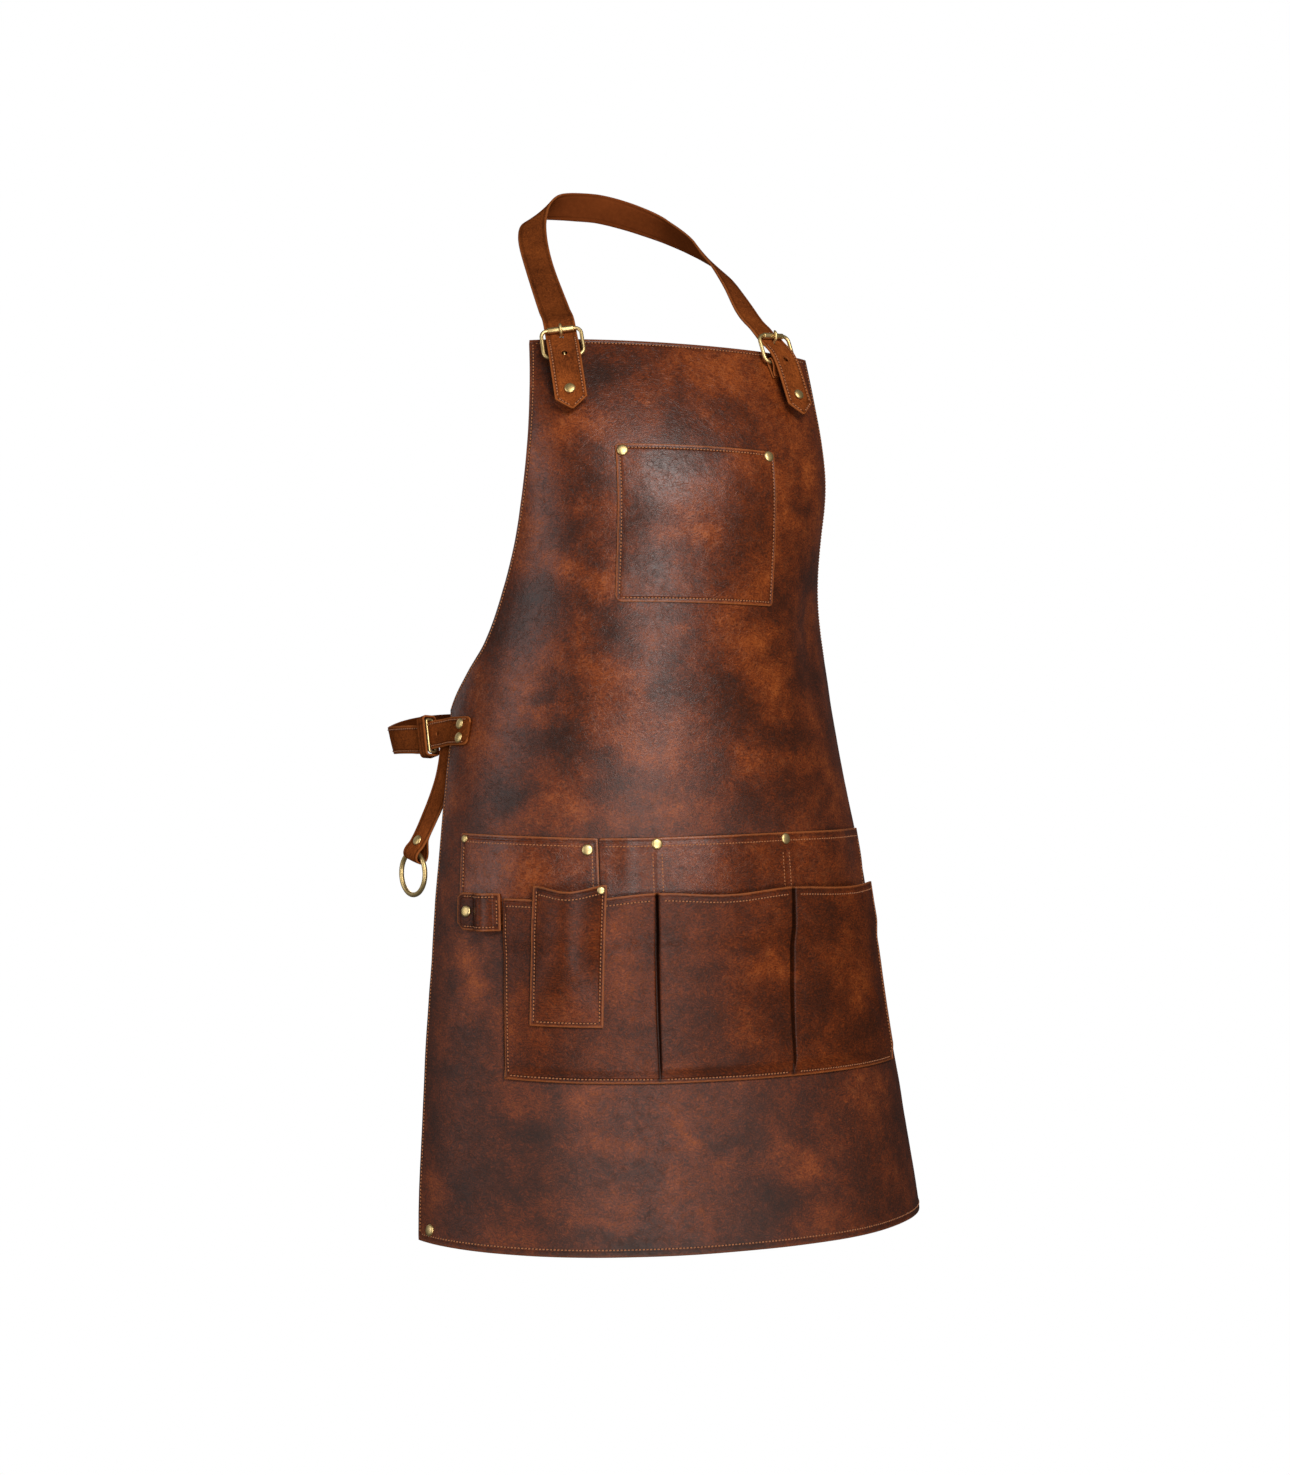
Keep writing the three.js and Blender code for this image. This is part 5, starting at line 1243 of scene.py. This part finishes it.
def half_loop(B, s):
    P, ref, w = [], [], []
    for q, h, k in THROUGH + OVER[s]:
        P.append(B.at(0, q, h))
        ref.append(B.out)
        w.append(k)
    for i in range(27):
        if s < 0:
            g = 0.10 + 0.90 * i / 26
            m = float(smooth(0.05, 0.35, g))
            P.append(neck_point(math.pi / 2 * g ** 1.15, s))
            face = np.array([-float(face_x(g)), float(face_y(g)), float(face_z(g))])
        else:
            g = 0.085 + 0.915 * i / 26
            m = float(smooth(-0.02, 0.3, g))
            x, y, z, *face = (float(f(g)) for f in neck_right)
            P.append(np.array([x, y - ORIGIN_Y, z - ORIGIN_Z]))
            face = np.array(face)
        ref.append(B.out * (1 - m) + face * m)
        w.append(1)
    return P, ref, w


pl, rl, wl = half_loop(BL, -1)
pr, rr, wr = half_loop(BR, 1)
P, ref, w = pl + pr[::-1][1:], rl + rr[::-1][1:], wl + wr[::-1][1:]
neck = Sweep(P, ref, STRAP_W * np.array(w, float), STRAP_T, 2.4)
o = neck.mesh("neck_strap_leather", strap_leather, 0.12, across=13, seed=1)
cutters = []
for B in (BL, BR):
    slot = [(1.75 * x, q) for q, x in ((-9.4, -0.55), (-9.4, 0.55), (-8.5, 1), (-4.8, 1), (-3.9, 0.55), (-3.9, -0.55), (-4.8, -1), (-8.5, -1))]
    cutters.append(prism(B, slot, 0.4, 14, strap_leather))
    hole = [(3.0 * math.cos(a), -29.5 + 3.0 * math.sin(a)) for a in np.arange(20) * math.pi / 10]
    cutters.append(prism(B, hole, 6.5, 18, strap_leather))
punch(o, cutters)
neck_strap = done(o, ["neck_strap"])
tot = neck.s[-1]
for s0, s1 in ((12.0, 80.0), (tot - 80.0, tot - 12.0)):
    neck.edge_rows(stitch, 3.0, s0, s1)
for B, s0, s1 in ((BL, 1.4, 12.5), (BR, tot - 12.5, tot - 1.4)):      # the pointed end
    x = np.linspace(s0, s1, 14)
    wd = np.interp(x, neck.s, neck.w) / 2 - 3.0
    ok = wd > 0.4
    for sd in (-1, 1):
        n = np.stack([np.interp(x[ok], neck.s, neck.out[:, k]) for k in range(3)], -1)
        stitch.row(neck.at(x[ok], sd * wd[ok], STRAP_T / 2 - 0.05 + 0 * x[ok]), n)


def dome(r):
    a = np.radians([0, 8, 22, 38, 54, 70, 82])
    return ([(0, -0.35), (r * 0.97, -0.35), (r, 0.10 * r), (r * 0.985, 0.17 * r)]
            + [(r * 0.93 * math.cos(t) ** 0.9, 0.20 * r + 0.24 * r * math.sin(t)) for t in a[1:]] + [(0, 0.44 * r)])


def rivet(node, F, r=5.2):
    metal.add(lathe(F, dome(r), 36))
    metal_nodes.append(node)


for label, B in (("left", BL), ("right", BR)):
    hq, cq, ch = (TOP_Q - HEEL_Q) / 2, (TOP_Q + HEEL_Q) / 2, (TOP_H + HEEL_H) / 2
    tilt = (TOP_H - HEEL_H) / 2 / hq
    loop = rounded_loop(BUCKLE_W / 2, hq, 6, 8)
    metal.add(tube(B.at(loop[:, 0], cq + loop[:, 1], ch + tilt * loop[:, 1]), FRAME_R, 16, True))
    half = BUCKLE_W / 2 - 6.5
    T = Frame(B.at(0, TOP_Q, TOP_H), B.up, B.out, B.across)
    ri = FRAME_R + 0.35
    roll = [(ri, -half), (ROLLER_R - 0.5, -half), (ROLLER_R - 0.12, -half + 0.15), (ROLLER_R, -half + 0.6)]
    prof = np.array(roll + [(r, -h) for r, h in roll[::-1]])
    qa = np.arange(28) * 2 * np.pi / 28
    Vr = np.concatenate([T.at(r * np.cos(qa), r * np.sin(qa), 0 * qa + h) for r, h in prof])
    m = len(prof)
    metal.add((Vr, [[i * 28 + k, i * 28 + (k + 1) % 28, ((i + 1) % m) * 28 + (k + 1) % 28, ((i + 1) % m) * 28 + k]
                    for i in range(m) for k in range(28)]))
    eye = FRAME_R + 0.3 + 1.4
    tr = [(HEEL_Q + eye * math.cos(a), HEEL_H + eye * math.sin(a)) for a in np.radians(np.linspace(300, 90, 9))]
    tr += [(-20, 7.2), (-14, 5.0), (-10.6, 3.9), (-8.6, 4.0), (-7, 5.6), (-5.7, 8.2), (-5, 10.6), (-3.2, 12.9), (-0.6, 13.9), (3, 13.6)]
    tr = np.array(tr)
    line = B.at(0 * tr[:, 0], tr[:, 0], tr[:, 1])
    t = chord(line)
    x = np.linspace(0, t[-1], 64)
    metal.add(tube(catmull(line, t, x), 1.4 * np.where(x > t[-1] - 1.2, 0.72, 1.0), 12, False))
    rr_ = FRAME_R + 0.5 + 0.95
    fold = [(-43.5, 1.5), (-40, 1.5), (-35.5, 1.6)]
    fold += [(HEEL_Q + rr_ * math.cos(a), HEEL_H + 0.15 + rr_ * math.sin(a)) for a in np.radians(np.linspace(-90, 90, 9))]
    fold += [(-33.4, 7.5), (-37, 5.5), (-40, 4.3), (-43, 4.0)]
    fold = np.array(fold)
    d = np.gradient(fold, axis=0)
    ref = [B.up * -b + B.out * a for a, b in d]
    tab = Sweep(B.at(0 * fold[:, 0], fold[:, 0], fold[:, 1]), ref, np.full(len(fold), 29.0), 1.9, 1.0)
    o = tab.mesh("buckle_tab_leather_" + label, strap_leather, -0.1, across=9, seed=2)
    punch(o, [prism(B, [(-2.6, -34), (2.6, -34), (2.6, -13.5), (-2.6, -13.5)], -1, 11, strap_leather)])
    done(o, ["buckle_tab_" + label])
    rivet("rivet_tail_" + label, B.moved(B.at(0, -67.8, 8.63 + STRAP_T / 2 + 0.6)))
    metal_nodes += ["buckle_frame_" + label, "buckle_roller_" + label, "buckle_prong_" + label]

# ---------------------------------------------------------------- waist strap
WAIST_Z, WAIST_U = -367.0, (231, 240, 249, 258, 266)
LIFT, BEHIND = GAP + WAIST_T / 2 + 0.5, -PANEL_T - 1.0 - WAIST_T / 2
flat_pt = lambda x, y, zz: np.array([x, y - ORIGIN_Y, zz - ORIGIN_Z])
path = [on_form(-k, WAIST_Z, LIFT) for k in WAIST_U] + [flat_pt(-204.2, 154, -368.5), flat_pt(-210.5, 168, -370)]
for i in range(37):
    a = math.radians(200 - 220 * i / 36)
    k = math.sin(min(max(a, 0), math.pi))
    wide = 232 + 2.4 * float(smooth(0, 3, min(i, 36 - i)))
    path.append(flat_pt(wide * math.cos(a), 235 + 150 * math.sin(a), -374 + 18 * float(smooth(0.1, 0.9, k))))
path += [flat_pt(203.5, 168, -370), flat_pt(193.8, 152.5, -368.5)] + [on_form(k, WAIST_Z, BEHIND) for k in WAIST_U[::-1]]
path = np.array(path)


def waist_frame(i):
    n = len(path)
    t = unit(path[min(i + 1, n - 1)] - path[max(i - 1, 0)])
    k = min(i, n - 1 - i)
    lean = frame_at((-1 if i < n / 2 else 1) * WAIST_U[min(k, 4)], WAIST_Z, 0, 0.0).up
    m = 1.0 if k < 5 else max(1 - (k - 4) / 4, 0)
    up = np.array([0, 0, 1.0]) * (1 - m) + lean * m
    up = up + np.array([(-1 if i < n / 2 else 1) * 0.24 * float(smooth(6, 9, k) * smooth(22, 13, k)), 0, 0])
    up = unit(up - (up @ t) * t)
    return Frame(path[i], t, up, unit(np.cross(up, t)))


def waist_at(f):
    i = int(math.floor(f))
    a, b, m = waist_frame(i), waist_frame(i + 1), f - i
    t = unit(b.P - a.P)
    up = a.up * (1 - m) + b.up * m
    up = unit(up - (up @ t) * t)
    return Frame(a.P * (1 - m) + b.P * m, t, up, unit(np.cross(up, t)))


frames = [waist_frame(i) for i in range(len(path))]
ww = np.full(len(path), WAIST_W)
P = np.concatenate([[path[0]], [path[0] + (path[1] - path[0]) * 0.14], [path[0] + (path[1] - path[0]) * 0.45], path[1:-1],
                    [path[-1] + (path[-2] - path[-1]) * 0.45], [path[-1] + (path[-2] - path[-1]) * 0.14], [path[-1]]])
ref = [frames[0].out] * 3 + [f_.out for f_ in frames[1:-1]] + [frames[-1].out] * 3
ww = np.concatenate([[19.0, 24.5], [27.6], np.full(len(path) - 2, WAIST_W), [27.6], [24.5, 19.0]])
belt = Sweep(P, ref, ww, WAIST_T, 2.8)
o = belt.mesh("waist_strap_leather", strap_leather, -0.05, across=11, seed=3)
H = waist_at(5.43)
punch(o, [prism(H, [(1.7 * math.cos(a), 1.7 * math.sin(a)) for a in np.arange(16) * math.pi / 8], -6, 6, strap_leather)])
waist_strap = done(o, ["waist_strap"])
belt.edge_rows(stitch, 3.0, 5.0, belt.s[-1] - 5.0)
for label, k, d in (("left", -244, LIFT + WAIST_T / 2 + 0.42), ("right", 258, 0.38)):
    for which, dz in (("upper", 6.6), ("lower", -6.6)):
        rivet("rivet_waist_%s_%s" % (which, label), frame_at(k, WAIST_Z + dz, d))

K = waist_at(6.4)
lo, li = rounded_loop(8.3, 20.4, 4.2, 6), rounded_loop(6.3, 18.4, 2.4, 6)
n = len(lo)
sec = [(lo, -5.0), (lo, -3.5), (lo, 0), (lo, 3.5), (lo, 5.0), (0.75 * lo + 0.25 * li, 5.5), (0.25 * lo + 0.75 * li, 5.5), (li, 5.0),
       (li, 0), (li, -5.0), (0.25 * lo + 0.75 * li, -5.5), (0.75 * lo + 0.25 * li, -5.5)]
V = np.concatenate([K.at(0 * L_[:, 0] + s, L_[:, 1], L_[:, 0]) for L_, s in sec])
m = len(sec)
F = [[i * n + k, i * n + (k + 1) % n, ((i + 1) % m) * n + (k + 1) % n, ((i + 1) % m) * n + k] for i in range(m) for k in range(n)]
ka = np.concatenate([np.full(n, 1.2 if i in (0, 4) else 2.4 if i in (1, 3) else 5.0 if i < 5 else -1.0 if i in (5, 6, 10, 11) else 5.0)
                     for i in range(m)])
ks = np.concatenate([np.full(n, 1.0 if i in (7, 8, 9) else 0.0) for i in range(m)])
kx = np.concatenate([np.stack([chord(L_) / 1000, np.full(n, s / 1000), np.full(n, 0.9)], -1) for L_, s in sec])
o = make("waist_keeper_leather", V, F, strap_leather, {"edge": ka, "tone": np.full(len(V), -0.2), "inside": ks}, {"flat": kx})
fix_normals(o)
done(o, ["waist_keeper"])
S = K.moved(K.P - 4.3 * K.across)
loop = rounded_loop(3.6, 16.2, 1.6, 6)
slide = Parts()
slide.add(tube(S.at(0 * loop[:, 0], loop[:, 1], loop[:, 0]), 1.3, 14, True))
# the slide's brass darkened with painted shade
done(slide.mesh("waist_slide_brass", shaded_brass), ["waist_slide"])

# ---------------------------------------------------------------- ring on its hanger
HANG_LINE = [(-472, 13.4, 9.8), (-468, 11.6, 8.8), (-462, 9.0, 7.2), (-450, 3.9, 4.0), (-438, -1.2, 1.0), (-426, -6.0, -1.4),
             (-414, -10.4, -3.2), (-402, -13.8, -4.4), (-388, -17.0, -5.2), (-372, -19.4, -5.5), (-354, -20.5, -5.5)]
hang_along, hang_off = monotone(HANG_LINE, 1), monotone(HANG_LINE, 2)
G6 = waist_frame(6)
away = unit(G6.across * (1, 1, 0))
facing = unit(G6.out * (1, 1, 0))


def hang_point(zz):
    return (G6.P + G6.up * ((zz - ORIGIN_Z - G6.P[2]) / G6.up[2]) + away * float(hang_along(zz)) + facing * float(hang_off(zz)))


H0, H1 = hang_point(-463), hang_point(-467)
down = unit(H1 - H0)
axis = unit(-away + (away @ down) * down)
face3 = unit(np.cross(down, axis))
if face3 @ facing < 0:
    face3 = -face3
loop_r = 5.2 + HANG_T / 2
loop_c = H0 + 23.5 * down + (3.4 - loop_r) * face3
local = lambda s, h: loop_c + down * s + face3 * h
pts = [hang_point(k) for k in (-364, -370, -378, -390, -402, -414, -426, -438, -450, -463)]
pts += [local(-14, 3.4), local(-8, loop_r - 1.9), local(-4, loop_r - 0.4)]
pts += [local(loop_r * math.cos(a), loop_r * math.sin(a)) for a in np.radians(np.linspace(90, -90, 9))]
pts += [local(-5, -loop_r + 0.9), local(-11, -2.6), local(-17, 0.2), local(-24, 0.9), local(-33, 0.8)]
pts = np.array(pts)
tt = unit(np.gradient(pts, axis=0))
ref = []
for i in range(len(pts)):
    b = float(smooth(0, 6, i))
    ac = -away * (1 - b) + axis * b
    ref.append(np.cross(tt[i], unit(ac - (ac @ tt[i]) * tt[i])))
hang = Sweep(pts, ref, HANG_W + 4 * smooth(11, 5, np.arange(len(pts))) - 4 * smooth(21, 24, np.arange(len(pts))), HANG_T, 1.4)
hanger = done(hang.mesh("hanger_leather", strap_leather, -0.1, across=9, seed=4), ["ring_hanger"])
off = unit(face3 - 0.113 * down)
rivet("rivet_hanger", Frame(local(-13.2, 3.7 + HANG_T / 2 + 0.2), axis, np.cross(off, axis), off))
plumb = np.array([0, 0, -1.0])
plumb = unit(plumb - (plumb @ axis) * axis)
sag = 20.7 - math.sqrt(20.7 ** 2 - 12 ** 2)
C = loop_c + plumb * (20.7 - sag / 2)
a = np.arange(96) * 2 * np.pi / 96
ring_line = C + axis * (20.7 * np.sin(a))[:, None] - plumb * (20.7 * np.cos(a))[:, None]
ring_parts = Parts()
ring_parts.add(tube(ring_line, 2.4, 20, True))
ring = done(ring_parts.mesh("brass_ring", brass), ["hanging_ring"], "ring")

# ---------------------------------------------------------------- rivets
seat = lambda u_, z_, d_: frame_at(u_, z_, d_ + GAP)
rivet("rivet_bib_left", seat(-73, -111.5, float(bib_lift(-73, -111.5)) + POCKET_T + 0.15))
rivet("rivet_bib_right", seat(71.5, -110, float(bib_lift(71.5, -110)) + POCKET_T + 0.15))
rivet("rivet_strip_end", seat(-227.6, -468.5, float(up_lift_l(-227, -468)) + POCKET_T + 0.1), 3.6)
rivet("rivet_strip_split", seat(-106, -477.6, float(up_lift_l(-106, -477)) + POCKET_T + 0.15))
rivet("rivet_strip_middle", seat(-42.8, -472.3, float(up_lift_r(-42.8, -472)) + POCKET_T + 0.3))
rivet("rivet_strip_right", seat(89, -468.9, float(up_lift_r(89, -469)) + POCKET_T + 0.3))
ru, rz = slim_uz(0.92, 0.035)
rivet("rivet_slim_pocket", seat(float(ru), float(rz), float(slim_lift(ru, rz, 0.92)) + POCKET_T + 1.3), 3.6)
rivet("rivet_pen_loop", seat(-222, -534.5, 3.9 + POCKET_T + 0.2))
rivet("rivet_hem_left", seat(-285, -818.5, 0.0))
done(metal.mesh("brass_fittings", brass), metal_nodes)
done(stitch.mesh("stitching", thread), [])
# awl holes as lenses of painted shade
done(stitch.holes("stitch_holes", awl_hole_painted_shade), [])

for piece, size, ar, held, rest in (
        (panel, (0.612, 0.86), 0.40, "hung", []),
        (bib, (0.160, 0.146), None, "laid", ["panel"]),
        (strip_l, (0.137, 0.082), None, "laid", ["panel"]),
        (strip_r, (0.312, 0.084), None, "laid", ["panel"]),
        (row, (0.465, 0.170), None, "laid", ["panel"]),
        (slim, (0.076, 0.124), None, "laid", ["lower_row"]),
        (pen, (0.056, 0.034), None, "laid", ["panel"])):
    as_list(rest)


# ---------------------------------------------------------------- studio
scene = bpy.context.scene
scene.view_settings.view_transform = "Standard"
scene.view_settings.look = "None"
world = bpy.data.worlds.new("studio")
scene.world = world
world.use_nodes = True
wt = world.node_tree
wt.nodes.clear()
_o = wt.nodes.new("ShaderNodeOutputWorld")
_m = wt.nodes.new("ShaderNodeMixShader")
_lp = wt.nodes.new("ShaderNodeLightPath")
_soft, _white = wt.nodes.new("ShaderNodeBackground"), wt.nodes.new("ShaderNodeBackground")
_soft.inputs["Color"].default_value, _soft.inputs["Strength"].default_value = (0.97, 0.98, 1.0, 1), 0.075
_white.inputs["Color"].default_value, _white.inputs["Strength"].default_value = (1, 1, 1, 1), 1.0
wt.links.new(_lp.outputs["Is Camera Ray"], _m.inputs[0])
wt.links.new(_soft.outputs[0], _m.inputs[1])
wt.links.new(_white.outputs[0], _m.inputs[2])
wt.links.new(_m.outputs[0], _o.inputs[0])


def area(name, right, up, toward, size, watts, colour, target=(0.0, -0.26, -0.62)):
    """Soft box placed by how far right, up and towards the camera it stands from the apron."""
    L = bpy.data.lights.new(name, "AREA")
    L.shape, L.size, L.size_y, L.energy, L.color = "RECTANGLE", size[0], size[1], watts, colour
    o = bpy.data.objects.new(name, L)
    t = Vector(target)
    flat = Vector((_F.x, _F.y, 0)).normalized()
    o.location = t + _R * right + Vector((0, 0, up)) - flat * toward
    o.rotation_euler = (t - o.location).to_track_quat("-Z", "Y").to_euler()
    o.visible_camera = False
    scene.collection.objects.link(o)
    return o


area("key", 0.66, 1.12, 1.75, (1.0, 0.75), 35.0, (1.0, 0.985, 0.965))
area("low", 0.44, -1.12, 1.75, (0.7, 0.42), 17.0, (1.0, 0.985, 0.965), (0.0, -0.26, 0.10))
area("fill", -1.85, 0.30, 0.95, (1.1, 1.7), 13.5, (0.97, 0.985, 1.0))
area("back_left", -1.30, 0.6, -1.10, (0.5, 1.4), 1.5, (1.0, 1.0, 1.0))
area("behind", 0.0, 0.55, -2.10, (0.8, 1.6), 18.0, (1.0, 0.99, 0.975))


# ---------------------------------------------------------------- floor
fg = bpy.data.materials.new("pale_floor")
fg.use_nodes = True
fg.node_tree.nodes.clear()
_fo = fg.node_tree.nodes.new("ShaderNodeOutputMaterial")
_fe = fg.node_tree.nodes.new("ShaderNodeEmission")
_fe.inputs["Color"].default_value, _fe.inputs["Strength"].default_value = (1, 1, 1, 1), 1.0
fg.node_tree.links.new(_fe.outputs[0], _fo.inputs[0])
bpy.ops.mesh.primitive_plane_add(size=24.0, location=(0, 0, -1.45))
floor = bpy.context.object
floor.name = "floor"
floor.data.materials.append(fg)
floor.visible_diffuse = floor.visible_glossy = floor.visible_transmission = False
floor.visible_volume_scatter = floor.visible_shadow = False
